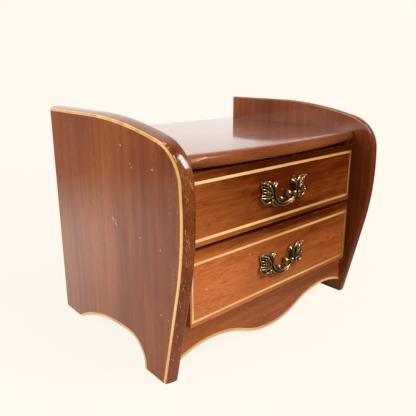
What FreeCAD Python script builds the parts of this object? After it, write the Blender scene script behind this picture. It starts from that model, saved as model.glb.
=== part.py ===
import FreeCAD, Part
import math
import os
import Sketcher

# Musical jewellery box with two drawers between two curved side panels.
# Millimetres. +Z is up, the drawers face -Y, and +X is to the right of a person who faces them.
# The origin is on the floor below the middle of the whole box.
# "Depth" is measured forwards from the flat back of the box.

Vector = FreeCAD.Vector
doc = FreeCAD.newDocument("JewelleryBox")
sheet = doc.addObject("Spreadsheet::Sheet", "Sizes")

# Driving sizes: name, number, meaning
SIZES = [
    # Side panels
    ("overall_width", 240.0, "across the outer faces of the side panels"),
    ("panel_thickness", 11.0, "side panel board"),
    ("panel_height", 195.9, "flat top of a side panel above the floor"),
    ("top_flat", 73.5, "level length of the panel's top edge"),
    ("rise_radius", 373.0, "long fall of the top edge"),
    ("rise_turn", 13.8, "degrees below level where the long fall ends"),
    ("shoulder_radius", 32.7, "front shoulder"),
    ("shoulder_turn", 85.4, "degrees below level where the shoulder ends"),
    ("belly_radius", 266.0, "front edge"),
    ("belly_turn", 102.3, "degrees below level of the straight front foot"),
    ("back_foot", 31.0, "depth of the back foot"),
    ("arch_run", 80.0, "from the back foot to the arch's highest point"),
    ("arch_height", 22.7, "arch above the floor"),
    ("arch_flat", 5.1, "level top of the arch"),
    ("corner_rise", 2.0, "centre of the arch's front corner above the floor"),
    ("round_width", 9.0, "crowned edge, across the thickness"),
    ("round_drop", 2.1, "crowned edge, fall to the outer face"),
    ("inner_round", 2.0, "rounding of the inner arris"),
    ("string_width", 1.9, "light line round the crown"),
    ("crown_string_depth", 0.6, "thickness of the light line round the crown"),
    ("string_depth", 1.2, "thickness of the other inlaid lines"),
    ("arch_string", 2.4, "light line round the arch"),
    # Carcass
    ("top_surface", 171.0, "upper face of the top board"),
    ("top_thickness", 11.0, "top board"),
    ("nose_depth", 174.5, "front of the top board at its middle"),
    ("nose_radius", 746.0, "bow of the top board's front, in plan"),
    ("nose_flat", 0.2, "flat left at the middle of the rounded nose"),
    ("back_thickness", 6.0, "back board"),
    ("inner_side", 11.0, "inner sides beside the drawers"),
    ("carcass_front", 163.0, "depth of the carcass's front edges"),
    ("floor_top", 40.0, "upper face of the floor board"),
    ("floor_thickness", 9.5, "floor board"),
    ("lower_opening", 60.7, "height of the lower drawer's opening"),
    ("divider_thickness", 6.0, "board between the drawers"),
    ("block_size", 10.0, "leg of the triangular glue blocks"),
    ("block_length", 34.0, "length of the glue blocks"),
    ("block_inset", 16.0, "glue blocks from the back board and the apron"),
    # Apron
    ("apron_thickness", 8.0, "apron board"),
    ("apron_crest", 19.8, "highest points of the apron's lower edge"),
    ("apron_drop", 17.3, "from the crests down to the middle lobe"),
    ("apron_reach", 75.0, "from the middle to each crest"),
    ("apron_string", 2.6, "light line along the apron's lower edge"),
    # Drawers
    ("lip_thickness", 7.0, "drawer front outside the carcass"),
    ("tongue_thickness", 7.0, "drawer front inside the opening"),
    ("seat_gap", 0.3, "closed drawer front to the carcass"),
    ("front_gap", 8.0, "drawer front's end to the side panel"),
    ("upper_front_lap", 1.8, "upper front over the divider"),
    ("lower_front_lap", 1.0, "lower front over the divider"),
    ("upper_top_gap", 1.0, "upper front to the top board"),
    ("lower_front_rise", 2.5, "lower front above the floor board"),
    ("front_string", 2.3, "light line on the drawer fronts"),
    ("string_side_margin", 1.2, "light line to the front's end"),
    ("upper_string_top", 5.9, "light line to the upper front's top"),
    ("upper_string_bottom", 3.6, "light line to the upper front's foot"),
    ("lower_string_top", 8.3, "light line to the lower front's top"),
    ("lower_string_bottom", 3.0, "light line to the lower front's foot"),
    ("drawer_wall", 6.0, "drawer sides and backs"),
    ("drawer_bottom", 3.0, "drawer bottoms"),
    ("bottom_rise", 2.0, "drawer bottom above the sides' lower edges"),
    ("side_clearance", 0.4, "drawer side to the inner side"),
    ("run_clearance", 0.3, "drawer above the board that it runs on"),
    ("wall_headroom", 4.0, "drawer sides below the board above"),
    ("back_headroom", 0.5, "drawer backs below the board above"),
    ("upper_back_space", 6.0, "upper drawer to the back board"),
    ("upper_travel", 115.0, "upper drawer's way out"),
    ("lower_travel", 70.0, "lower drawer's way out"),
    ("stop_height", 3.0, "drawer stops below the board above"),
    ("stop_depth", 6.0, "drawer stops, front to back"),
    ("stop_width", 40.0, "drawer stops, side to side"),
    ("stop_margin", 0.3, "stop beyond the drawer's way out"),
    ("lining_thickness", 1.2, "velvet on card"),
    ("lining_drop", 3.0, "lining below the drawer side's upper edge"),
    ("roll_radius", 8.0, "ring rolls"),
    ("roll_pitch", 15.0, "from ring roll to ring roll"),
    ("roll_height", 17.0, "ring rolls above the lining"),
    ("roll_gap", 0.3, "ring rolls to the lining"),
    ("roll_count", 4, "number of ring rolls"),
    # Pulls
    ("pull_rise", 0.0, "pull's middle above the front's middle"),
    ("pull_spacing", 39.0, "between the two screws"),
    ("bow_radius", 11.5, "hanging bow, centre line"),
    ("bow_section", 1.7, "hanging bow, radius of the bar"),
    ("bow_standoff", 5.0, "hanging bow, centre line to the drawer front"),
    ("bow_turn", 240.0, "degrees of the bow"),
    ("leaf_tip", 12.1, "from a leaf's middle to its longest tip"),
    ("leaf_notch", 5.6, "from a leaf's middle to its notches"),
    ("leaf_thickness", 3.0, "leaves above the drawer front"),
    ("leaf_round", 0.9, "rounding of the leaves' front edges"),
    ("pull_arm", 1.4, "radius of the arms from the leaves to the bow"),
    ("volute_radius", 2.6, "volutes at the ends of the bow"),
    ("volute_length", 4.4, "volutes, front to back"),
    ("knob_radius", 3.1, "knobs in the middle of the leaves"),
    ("pull_post", 2.3, "radius of the posts"),
    ("pull_screw", 1.5, "radius of the pull screws"),
    ("pull_screw_head", 3.4, "radius of their heads"),
    ("pull_screw_head_height", 1.8, "height of their heads"),
    ("screw_bite", 3.0, "pull screws inside the posts"),
    ("drill_clearance", 0.1, "radial room round screws"),
    # Movement
    ("partition_depth", 66.0, "depth of the partition's rear face"),
    ("partition_thickness", 4.0, "partition in front of the movement"),
    ("lower_back_space", 2.0, "lower drawer to the partition"),
    ("arbor_place", -15.0, "winding arbor from the middle of the box"),
    ("arbor_depth", 34.0, "depth of the winding arbor"),
    ("bed_thickness", 2.5, "bedplate"),
    ("bed_behind", 23.0, "bedplate behind the winding arbor"),
    ("bed_front", 30.0, "bedplate in front of the winding arbor"),
    ("bed_left", 14.0, "bedplate left of the winding arbor"),
    ("bed_right", 49.0, "bedplate right of the winding arbor"),
    ("arbor_radius", 2.0, "winding arbor"),
    ("collar_radius", 3.2, "winding arbor's collar"),
    ("fit", 0.05, "radial clearance of turning and sliding fits"),
    ("barrel_radius", 12.0, "spring barrel"),
    ("barrel_wall", 1.2, "spring barrel wall"),
    ("barrel_gap", 0.5, "spring barrel above the bedplate"),
    ("barrel_height", 9.5, "spring barrel without its cover"),
    ("cover_thickness", 1.5, "spring barrel's cover"),
    ("coil_thickness", 0.5, "mainspring strip"),
    ("coil_pitch", 1.3, "mainspring, from turn to turn"),
    ("coil_turns", 5, "mainspring turns"),
    ("coil_side_gap", 0.5, "mainspring to the barrel's ends"),
    ("coil_rim_gap", 0.3, "mainspring to the barrel's wall"),
    ("crown_module", 0.8, "crown wheel and cylinder pinion"),
    ("crown_teeth", 26, "crown wheel teeth"),
    ("crown_face", 1.0, "crown teeth along the radius"),
    ("crown_addendum", 0.5, "crown teeth above their pitch plane"),
    ("crown_dedendum", 0.95, "crown teeth below their pitch plane"),
    ("crown_sink", 0.375, "crown teeth let into the cover"),
    ("pinion_teeth", 12, "teeth of both pinions"),
    ("wheel_module", 0.5, "cylinder wheel, governor pinion and worm wheel"),
    ("wheel_teeth", 36, "cylinder wheel teeth"),
    ("worm_teeth", 20, "worm wheel teeth"),
    ("gear_face", 1.5, "thickness of the wheels"),
    ("bearing_place", 13.0, "left bearing from the winding arbor"),
    ("bearing_thickness", 2.0, "bearing plates"),
    ("bearing_width", 10.0, "left bearing, front to back"),
    ("bearing_rim", 5.0, "bearing plates beyond the arbor above it"),
    ("part_gap", 1.0, "between neighbours on the cylinder arbor"),
    ("cylinder_length", 18.0, "tune cylinder"),
    ("cylinder_radius", 6.5, "tune cylinder"),
    ("cylinder_arbor", 1.0, "radius of the cylinder arbor"),
    ("pin_radius", 0.22, "tune pins"),
    ("pin_height", 0.5, "tune pins above the cylinder"),
    ("pin_root", 0.8, "tune pins inside the cylinder"),
    ("tine_count", 18, "teeth of the comb"),
    ("pins_per_tine", 3, "tune pins on each track"),
    ("tine_slot", 0.25, "slots between the teeth of the comb"),
    ("tine_length", 15.0, "longest teeth of the comb"),
    ("comb_depth", 22.0, "comb, front to back"),
    ("comb_thickness", 1.4, "comb"),
    ("comb_gap", 0.3, "comb to the circle of the pins"),
    ("comb_seat", 6.6, "comb's seat, front to back"),
    ("comb_bite", 4.2, "comb screws below the comb's upper face"),
    ("small_screw", 1.0, "radius of the comb screws"),
    ("small_head", 1.8, "radius of the comb screws' heads"),
    ("small_head_height", 1.1, "height of the comb screws' heads"),
    ("governor_back", 10.0, "governor arbor behind the cylinder arbor"),
    ("governor_arbor", 0.8, "radius of the governor arbors"),
    ("worm_pitch_radius", 1.8, "worm"),
    ("worm_tip_radius", 2.2, "worm"),
    ("worm_root_radius", 1.25, "worm"),
    ("worm_length", 8.0, "threaded length of the worm"),
    ("arm_thickness", 2.0, "arms that hold the worm's arbor"),
    ("fan_reach", 5.0, "governor fan, tip radius"),
    ("fan_height", 4.5, "governor fan blades"),
    ("fan_thickness", 0.4, "governor fan blades"),
    ("fan_hub", 1.5, "governor fan hub"),
    ("brake_collar", 2.0, "collar that the plunger brakes"),
    ("brake_height", 1.6, "that collar's height"),
    ("plunger_radius", 1.3, "stop plunger"),
    ("plunger_gap", 0.3, "plunger to the brake collar and to the drawer"),
    ("plunger_travel", 6.0, "stop plunger's way"),
    ("guide_depth", 8.0, "plunger guide in front of the cylinder arbor"),
    ("guide_width", 4.4, "plunger guide, side to side"),
    ("key_drop", 2.0, "winding key below the floor board"),
    ("key_hub_radius", 3.4, "winding key hub"),
    ("key_hub_height", 9.0, "winding key hub"),
    ("key_wing_radius", 6.0, "winding key wings"),
    ("key_wing_place", 7.0, "winding key wings from the arbor"),
    ("key_wing_thickness", 1.8, "winding key wings"),
    ("key_hole_radius", 2.6, "holes in the winding key wings"),
    ("arbor_floor_room", 1.0, "radial room round the arbor in the floor board"),
    ("wood_screw", 1.4, "radius of the wood screws"),
    ("wood_head", 2.9, "radius of the wood screws' heads"),
    ("wood_head_height", 1.2, "height of the wood screws' heads"),
    ("wood_bite", 12.0, "wood screws beyond the board that they hold"),
    ("bed_screw_inset", 4.0, "bedplate screws from the bedplate's edges"),
    ("back_screw_inset", 14.0, "back screws from the ends of the inner sides"),
]


class Size:
    """A number together with the sheet expression that it comes from."""

    def __init__(self, number, text):
        self.number = float(number)
        self.text = text

    def __float__(self):
        return self.number

    def __add__(self, other):
        other = as_size(other)
        return Size(self.number + other.number, "(%s + %s)" % (self.text, other.text))

    def __sub__(self, other):
        other = as_size(other)
        return Size(self.number - other.number, "(%s - %s)" % (self.text, other.text))

    def __mul__(self, other):
        other = as_size(other)
        return Size(self.number * other.number, "(%s * %s)" % (self.text, other.text))

    def __truediv__(self, other):
        other = as_size(other)
        return Size(self.number / other.number, "(%s / %s)" % (self.text, other.text))

    def __radd__(self, other):
        return as_size(other) + self

    def __rsub__(self, other):
        return as_size(other) - self

    def __rmul__(self, other):
        return as_size(other) * self

    def __neg__(self):
        return Size(-self.number, "(0 - %s)" % self.text)


def as_size(value):
    return value if isinstance(value, Size) else Size(value, "%.6f" % value)


def sine(angle):
    return Size(math.sin(math.radians(float(angle))), "sin(%s)" % angle.text)


def cosine(angle):
    return Size(math.cos(math.radians(float(angle))), "cos(%s)" % angle.text)


def root(value):
    return Size(math.sqrt(float(value)), "sqrt(%s)" % value.text)


def fill_sheet():
    """Write the driving sizes and return them by name."""
    for row, (name, number, meaning) in enumerate(SIZES, start=1):
        sheet.set("A%d" % row, name)
        sheet.set("B%d" % row, str(number))
        sheet.set("C%d" % row, meaning)
        sheet.setAlias("B%d" % row, name)
    doc.recompute()
    return {name: Size(sheet.get(name), "Sizes." + name) for name, number, meaning in SIZES}


size = fill_sheet()
NOTHING = Size(0.0, "0")
LEFT = -1
RIGHT = 1
nodes = {}


# Places that several pieces share

half_width = size["overall_width"] / 2
panel_inner = half_width - size["panel_thickness"]
opening_half = panel_inner - size["inner_side"]
top_underside = size["top_surface"] - size["top_thickness"]
floor_underside = size["floor_top"] - size["floor_thickness"]
divider_bottom = size["floor_top"] + size["lower_opening"]
divider_top = divider_bottom + size["divider_thickness"]
lip_back = size["carcass_front"] + size["seat_gap"]
front_face = lip_back + size["lip_thickness"]
tongue_back = lip_back - size["tongue_thickness"]
apron_back = size["carcass_front"] - size["apron_thickness"]
box_half = opening_half - size["side_clearance"]
partition_front = size["partition_depth"] + size["partition_thickness"]


def turned(start, before, after, radius):
    """Centre and end of an arc that starts at a heading and turns downwards to another."""
    centre = (start[0] - radius * sine(before), start[1] - radius * cosine(before))
    end = (centre[0] + radius * sine(after), centre[1] + radius * cosine(after))
    return centre, end


# Crown of the side panels, as depth and height
crown_back = (NOTHING, size["panel_height"])
crown_flat_end = (size["top_flat"], size["panel_height"])
rise_centre, rise_end = turned(crown_flat_end, NOTHING, size["rise_turn"], size["rise_radius"])
shoulder_centre, shoulder_end = turned(
    rise_end, size["rise_turn"], size["shoulder_turn"], size["shoulder_radius"])
belly_centre, belly_end = turned(
    shoulder_end, size["shoulder_turn"], size["belly_turn"], size["belly_radius"])
foot_slope = cosine(size["belly_turn"]) / sine(size["belly_turn"])
foot_front = belly_end[0] + belly_end[1] * foot_slope
overall_depth = belly_centre[0] + size["belly_radius"]
half_depth = overall_depth / 2


def at_depth(depth):
    return half_depth - depth


# Small helpers for the document

def bind(thing, prop, value):
    thing.setExpression(prop, as_size(value).text)


def put(thing, x, y, z):
    bind(thing, "Placement.Base.x", x)
    bind(thing, "Placement.Base.y", y)
    bind(thing, "Placement.Base.z", z)


def add(kind, name):
    thing = doc.addObject(kind, name)
    thing.Label = name
    return thing


def keep(thing):
    """Mark an object as a finished sub-part; its Label is the node's name."""
    nodes[thing.Label] = thing
    return thing


def block(name, x, y, z):
    """Box from low to high along each axis."""
    box = add("Part::Box", name)
    bind(box, "Length", x[1] - x[0])
    bind(box, "Width", y[1] - y[0])
    bind(box, "Height", z[1] - z[0])
    put(box, x[0], y[0], z[0])
    return box


def depths(back, front):
    """Low and high Y of a piece between two depths."""
    return (at_depth(front), at_depth(back))


TURN_TO = {
    "+Z": FreeCAD.Rotation(),
    "-Z": FreeCAD.Rotation(Vector(1, 0, 0), 180),
    "+X": FreeCAD.Rotation(Vector(0, 1, 0), 90),
    "+Y": FreeCAD.Rotation(Vector(1, 0, 0), -90),
    "-Y": FreeCAD.Rotation(Vector(1, 0, 0), 90),
}


def rod(name, radius, length, start, towards):
    cylinder = add("Part::Cylinder", name)
    cylinder.Placement = FreeCAD.Placement(Vector(), TURN_TO[towards])
    bind(cylinder, "Radius", radius)
    bind(cylinder, "Height", length)
    put(cylinder, *start)
    return cylinder


def cut(name, base, tools):
    tool = tools[0]
    if len(tools) > 1:
        tool = add("Part::Compound", name + "_tools")
        tool.Links = tools
    result = add("Part::Cut", name)
    result.Base = base
    result.Tool = tool
    return result


def fuse(name, pieces):
    result = add("Part::MultiFuse", name)
    result.Shapes = pieces
    return result


def group(name, pieces):
    result = add("Part::Compound", name)
    result.Links = pieces
    return result


def new_body(name):
    return add("PartDesign::Body", name)


def new_sketch(body, name, role, offset=NOTHING):
    """Sketch on one of the body's own origin planes, moved along the plane's normal."""
    plane = [feature for feature in body.Origin.OriginFeatures if feature.Role == role][0]
    sketch = body.newObject("Sketcher::SketchObject", name)
    sketch.AttachmentSupport = [(plane, "")]
    sketch.MapMode = "FlatFace"
    bind(sketch, "AttachmentOffset.Base.z", offset)
    return sketch


def point(pair):
    return Vector(float(pair[0]), float(pair[1]), 0)


def trace(sketch, corners, closed=True):
    """Draw runs between corners and bind every corner to the sheet.

    A corner is (x, y), or (x, y, centre, way) where an arc starts at it. The way is 1 for
    an arc that runs counter-clockwise and -1 for one that runs clockwise.
    """
    first = sketch.GeometryCount
    count = len(corners)
    runs = count if closed else count - 1
    for index in range(runs):
        here = point(corners[index])
        there = point(corners[(index + 1) % count])
        if len(corners[index]) == 2:
            sketch.addGeometry(Part.LineSegment(here, there), False)
            continue
        centre = point(corners[index][2])
        if corners[index][3] < 0:
            here, there = there, here
        start = math.atan2(here.y - centre.y, here.x - centre.x)
        end = math.atan2(there.y - centre.y, there.x - centre.x)
        if end <= start:
            end += 2 * math.pi
        circle = Part.Circle(centre, Vector(0, 0, 1), (here - centre).Length)
        sketch.addGeometry(Part.ArcOfCircle(circle, start, end), False)
    tie_corners(sketch, corners, first, runs, closed)


def tie_corners(sketch, corners, first, runs, closed):
    def tip(run, spot):
        start = sketch.Geometry[first + run].StartPoint
        return 1 if (start - spot).Length < 1e-6 else 2

    for index, corner in enumerate(corners):
        spot = point(corner)
        run = index if index < runs else runs - 1
        end = tip(run, spot)
        if closed or 0 < index < runs:
            before = (index - 1) % len(corners)
            link = Sketcher.Constraint("Coincident", first + before, tip(before, spot), first + run, end)
            sketch.addConstraint(link)
        for kind, value in (("DistanceX", corner[0]), ("DistanceY", corner[1])):
            rule = Sketcher.Constraint(kind, -1, 1, first + run, end, float(value))
            number = sketch.addConstraint(rule)
            bind(sketch, "Constraints[%d]" % number, value)
        if len(corner) == 4:
            across = corner[0] - corner[2][0]
            along = corner[1] - corner[2][1]
            radius = root(across * across + along * along)
            number = sketch.addConstraint(Sketcher.Constraint("Radius", first + run, float(radius)))
            bind(sketch, "Constraints[%d]" % number, radius)


def ring(sketch, centre, radius):
    """Bound full circle."""
    circle = Part.Circle(point(centre), Vector(0, 0, 1), float(radius))
    index = sketch.addGeometry(circle, False)
    number = sketch.addConstraint(Sketcher.Constraint("Radius", index, float(radius)))
    bind(sketch, "Constraints[%d]" % number, radius)
    for kind, value in (("DistanceX", centre[0]), ("DistanceY", centre[1])):
        number = sketch.addConstraint(Sketcher.Constraint(kind, -1, 1, index, 3, float(value)))
        bind(sketch, "Constraints[%d]" % number, value)


def rectangle(sketch, low, high):
    trace(sketch, [(low[0], low[1]), (high[0], low[1]), (high[0], high[1]), (low[0], high[1])])


def pad(body, sketch, length, name):
    feature = body.newObject("PartDesign::Pad", name)
    feature.Profile = sketch
    bind(feature, "Length", length)
    return feature


def pocket(body, sketch, length, name, flipped=False):
    feature = body.newObject("PartDesign::Pocket", name)
    feature.Profile = sketch
    feature.Reversed = flipped
    bind(feature, "Length", length)
    return feature


# Side panels and their light lines

PAST = Size(2.0, "2")


def crown_path(start_past, end_past):
    """Crown of the panel from the back to the floor, run on past both ends."""
    return [
        (at_depth(-start_past), crown_back[1]),
        (at_depth(crown_flat_end[0]), crown_flat_end[1], flip_point(rise_centre), 1),
        (at_depth(rise_end[0]), rise_end[1], flip_point(shoulder_centre), 1),
        (at_depth(shoulder_end[0]), shoulder_end[1], flip_point(belly_centre), 1),
        (at_depth(belly_end[0]), belly_end[1]),
        (at_depth(foot_front + end_past * foot_slope), -end_past),
    ]


def flip_point(pair):
    return (at_depth(pair[0]), pair[1])


arch_radius = (size["arch_run"] * size["arch_run"] + size["arch_height"] * size["arch_height"])
arch_radius = arch_radius / (2 * size["arch_height"])
arch_top = size["back_foot"] + size["arch_run"]
arch_centre = (arch_top, size["arch_height"] - arch_radius)
corner_radius = size["arch_height"] - size["corner_rise"]
corner_centre = (arch_top + size["arch_flat"], size["corner_rise"])
foot_inner = corner_centre[0] + corner_radius


def arch_line(offset):
    """Arch from the back foot to the front foot, moved up into the panel by an offset."""
    reach = arch_radius + offset
    start = arch_top - root(reach * reach - arch_centre[1] * arch_centre[1])
    return [
        (at_depth(start), NOTHING, flip_point(arch_centre), 1),
        (at_depth(arch_top), size["arch_height"] + offset),
        (at_depth(corner_centre[0]), size["arch_height"] + offset, flip_point(corner_centre), 1),
        (at_depth(foot_inner + offset), corner_centre[1]),
        (at_depth(foot_inner + offset), NOTHING),
    ]


def reversed_line(corners):
    """The same corners from the other end, with each arc kept on its own run."""
    result = []
    for index in range(len(corners) - 1, -1, -1):
        corner = corners[index][:2]
        if index > 0 and len(corners[index - 1]) == 4:
            centre, way = corners[index - 1][2:]
            corner = corner + (centre, -way)
        result.append(corner)
    return result


crown_arc = (size["round_width"] * size["round_width"] + size["round_drop"] * size["round_drop"])
crown_arc = crown_arc / (2 * size["round_drop"])


def section_sketch(body, name, hand, corners):
    """Section across the top edge, behind the back.

    A corner is its inset from the outer face and its drop, with a centre where an arc starts.
    """
    sketch = new_sketch(body, name, "XZ_Plane", -at_depth(-PAST))
    places = []
    for corner in corners:
        place = (hand * (half_width - corner[0]), size["panel_height"] - corner[1])
        if len(corner) == 3:
            centre = corner[2]
            middle = (hand * (half_width - centre[0]), size["panel_height"] - centre[1])
            place = place + (middle, hand)
        places.append(place)
    trace(sketch, places)
    return sketch


def sweep(body, kind, profile, path, name):
    feature = body.newObject(kind, name)
    feature.Profile = profile
    feature.Spine = (path, [])
    return feature


def side_panel(name, hand):
    body = new_body(name)
    face = hand * half_width
    outline = new_sketch(body, name + "_outline", "YZ_Plane", face)
    crown = crown_path(NOTHING, NOTHING)
    trace(outline, crown + reversed_line(arch_line(NOTHING)) + [(at_depth(NOTHING), NOTHING)])
    board = pad(body, outline, size["panel_thickness"], name + "_board")
    board.Reversed = hand == RIGHT
    path = new_sketch(body, name + "_crown", "YZ_Plane", face)
    trace(path, crown_path(PAST, PAST), closed=False)
    drop = size["round_drop"]
    width = size["round_width"]
    inner = size["inner_round"]
    waste = section_sketch(body, name + "_waste", hand, [
        (NOTHING, drop, (width, crown_arc)),
        (width, NOTHING, (width, inner)),
        (width + inner, inner),
        (width + inner + PAST, inner),
        (width + inner + PAST, -PAST),
        (-PAST, -PAST),
        (-PAST, drop),
    ])
    sweep(body, "PartDesign::SubtractivePipe", waste, path, name + "_round")
    groove_foot = drop + size["string_width"]
    groove = section_sketch(body, name + "_groove_section", hand, [
        (-PAST, -PAST), (size["crown_string_depth"], -PAST),
        (size["crown_string_depth"], groove_foot), (-PAST, groove_foot)])
    sweep(body, "PartDesign::SubtractivePipe", groove, path, name + "_groove")
    arch = new_sketch(body, name + "_arch", "YZ_Plane", face)
    trace(arch, arch_line(NOTHING) + reversed_line(arch_line(size["arch_string"])))
    pocket(body, arch, size["string_depth"], name + "_arch_groove", flipped=hand == LEFT)
    return keep(body)


def edge_stringing(name, hand):
    """Light line round the crown, trimmed at the back and at the floor."""
    body = new_body(name + "_strip")
    path = new_sketch(body, name + "_path", "YZ_Plane", hand * half_width)
    trace(path, crown_path(PAST, PAST), closed=False)
    thickness = size["crown_string_depth"]
    across = size["round_width"] - thickness
    inner_drop = crown_arc - root(crown_arc * crown_arc - across * across)
    foot = size["round_drop"] + size["string_width"]
    section = section_sketch(body, name + "_section", hand, [
        (NOTHING, size["round_drop"], (size["round_width"], crown_arc)),
        (thickness, inner_drop),
        (thickness, foot),
        (NOTHING, foot),
    ])
    sweep(body, "PartDesign::AdditivePipe", section, path, name + "_sweep")
    low_x = half_width - size["panel_thickness"]
    reach = (low_x, half_width) if hand == RIGHT else (-half_width, -low_x)
    room = block(name + "_room", reach, depths(NOTHING, overall_depth), (NOTHING, size["panel_height"]))
    result = add("Part::Common", name)
    result.Base = body
    result.Tool = room
    return keep(result)


def arch_stringing(name, hand):
    body = new_body(name)
    outline = new_sketch(body, name + "_outline", "YZ_Plane", hand * half_width)
    trace(outline, arch_line(NOTHING) + reversed_line(arch_line(size["arch_string"])))
    strip = pad(body, outline, size["string_depth"], name + "_strip")
    strip.Reversed = hand == RIGHT
    return keep(body)


# Carcass boards

def top_board():
    body = new_body("top_board")
    outline = new_sketch(body, "top_outline", "XY_Plane", top_underside)
    radius = size["nose_radius"]
    centre_depth = size["nose_depth"] - radius
    end_depth = centre_depth + root(radius * radius - panel_inner * panel_inner)
    trace(outline, [
        (-panel_inner, at_depth(end_depth), (NOTHING, at_depth(centre_depth)), 1),
        (panel_inner, at_depth(end_depth)),
        (panel_inner, at_depth(NOTHING)),
        (-panel_inner, at_depth(NOTHING)),
    ])
    board = pad(body, outline, size["top_thickness"], "top_pad")
    doc.recompute()
    front = [
        "Edge%d" % number
        for number, edge in enumerate(board.Shape.Edges, start=1)
        if edge.CenterOfMass.y < float(at_depth(end_depth)) and edge.BoundBox.XLength > 1.0
    ]
    nose = body.newObject("PartDesign::Fillet", "top_nose")
    nose.Base = (board, front)
    bind(nose, "Radius", (size["top_thickness"] - size["nose_flat"]) / 2)
    return keep(body)


def wood_screw(name, start, towards, length):
    """Round-headed screw: the head lies on a board and the shank goes into it."""
    flip = {"+Z": "-Z", "-Y": "+Y"}[towards]
    shank = rod(name + "_shank", size["wood_screw"], length, start, towards)
    head = rod(name + "_head", size["wood_head"], size["wood_head_height"], start, flip)
    return fuse(name, [shank, head])


def screw_hole(name, start, towards, length):
    return rod(name, size["wood_screw"] + size["fit"], length, start, towards)


def back_screw_places():
    side_middle = opening_half + size["inner_side"] / 2
    low = size["floor_top"] + size["back_screw_inset"]
    high = top_underside - size["back_screw_inset"]
    middle = (low + high) / 2
    return [(hand * side_middle, height) for hand in (LEFT, RIGHT) for height in (low, middle, high)]


def back_holes(name, places):
    """Holes for the shanks and the sunk heads of the back screws."""
    length = size["back_thickness"] + size["wood_bite"]
    tools = []
    for index, (x, z) in enumerate(places, start=1):
        start = (x, at_depth(NOTHING), z)
        tools.append(screw_hole("%s_hole_%d" % (name, index), start, "-Y", length))
        tools.append(rod("%s_sink_%d" % (name, index), size["wood_head"] + size["fit"],
                         size["wood_head_height"], start, "-Y"))
    return tools


def carcass():
    span = (-panel_inner, panel_inner)
    behind = size["back_thickness"]
    back = block("back_blank", span, depths(NOTHING, behind), (floor_underside, top_underside))
    keep(cut("back_board", back, back_holes("back", back_screw_places())))
    for name, hand in (("left", LEFT), ("right", RIGHT)):
        reach = (opening_half, panel_inner) if hand == RIGHT else (-panel_inner, -opening_half)
        side = block(name + "_inner_blank", reach, depths(behind, size["carcass_front"]),
                     (size["floor_top"], top_underside))
        mine = [place for place in back_screw_places() if float(place[0]) * hand > 0]
        keep(cut(name + "_inner_side", side, back_holes(name + "_inner", mine)))
    keep(block("drawer_divider", (-opening_half, opening_half), depths(behind, size["carcass_front"]),
               (divider_bottom, divider_top)))
    sunk = size["wood_head_height"]
    screws = [
        wood_screw("back_screw_%d" % index, (x, at_depth(sunk), z), "-Y",
                   behind - sunk + size["wood_bite"])
        for index, (x, z) in enumerate(back_screw_places(), start=1)
    ]
    keep(group("back_screws", screws))


def glue_blocks():
    """Triangular blocks in the corners under the floor board."""
    leg = size["block_size"]
    pieces = []
    rear = size["back_thickness"] + size["block_inset"]
    front = apron_back - size["block_inset"] - size["block_length"]
    for index, (hand, start) in enumerate(
            [(LEFT, rear), (LEFT, front), (RIGHT, rear), (RIGHT, front)], start=1):
        body = new_body("glue_block_%d" % index)
        outline = new_sketch(body, "glue_outline_%d" % index, "XZ_Plane", -at_depth(start))
        trace(outline, [
            (hand * panel_inner, floor_underside),
            (hand * (panel_inner - leg), floor_underside),
            (hand * panel_inner, floor_underside - leg),
        ])
        pad(body, outline, size["block_length"], "glue_pad_%d" % index)
        pieces.append(body)
    keep(group("glue_blocks", pieces))


def drawer_stop(name, back_of_wall, travel, above):
    """Block that catches the drawer's back wall at the end of its way out."""
    rear = back_of_wall + size["drawer_wall"] + travel + size["stop_margin"]
    half = size["stop_width"] / 2
    return block(name, (-half, half), depths(rear, rear + size["stop_depth"]),
                 (above - size["stop_height"], above))


# Apron

apron_radius = size["apron_reach"] * size["apron_reach"] + size["apron_drop"] * size["apron_drop"]
apron_radius = apron_radius / (4 * size["apron_drop"])


def apron_line(offset):
    """Lower edge of the apron from left to right, moved up into the board by an offset."""
    reach = size["apron_reach"]
    crest = size["apron_crest"] - apron_radius
    lobe = size["apron_crest"] - size["apron_drop"] + apron_radius
    outer = apron_radius + offset
    inner = apron_radius - offset
    fall = panel_inner - reach
    end = crest + root(outer * outer - fall * fall)
    knee_out = outer / (outer + inner)
    knee_x = reach - reach * knee_out
    knee_z = crest + (lobe - crest) * knee_out
    return [
        (-panel_inner, end, (-reach, crest), -1),
        (-knee_x, knee_z, (NOTHING, lobe), 1),
        (knee_x, knee_z, (reach, crest), -1),
        (panel_inner, end),
    ]


def apron():
    body = new_body("apron")
    outline = new_sketch(body, "apron_outline", "XZ_Plane", -at_depth(size["carcass_front"]))
    top = [(panel_inner, size["floor_top"]), (-panel_inner, size["floor_top"])]
    trace(outline, apron_line(NOTHING) + top)
    board = pad(body, outline, size["apron_thickness"], "apron_board")
    board.Reversed = True
    rebate = new_sketch(body, "apron_rebate", "XZ_Plane", -at_depth(size["carcass_front"]))
    trace(rebate, apron_line(NOTHING) + reversed_line(apron_line(size["apron_string"])))
    pocket(body, rebate, size["string_depth"], "apron_groove")
    keep(body)
    strip = new_body("apron_stringing")
    line = new_sketch(strip, "apron_string_line", "XZ_Plane", -at_depth(size["carcass_front"]))
    trace(line, apron_line(NOTHING) + reversed_line(apron_line(size["apron_string"])))
    pad(strip, line, size["string_depth"], "apron_strip").Reversed = True
    keep(strip)


# Drawers

def pull_places(height):
    half = size["pull_spacing"] / 2
    return [(hand * half, height) for hand in (LEFT, RIGHT)]


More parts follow.
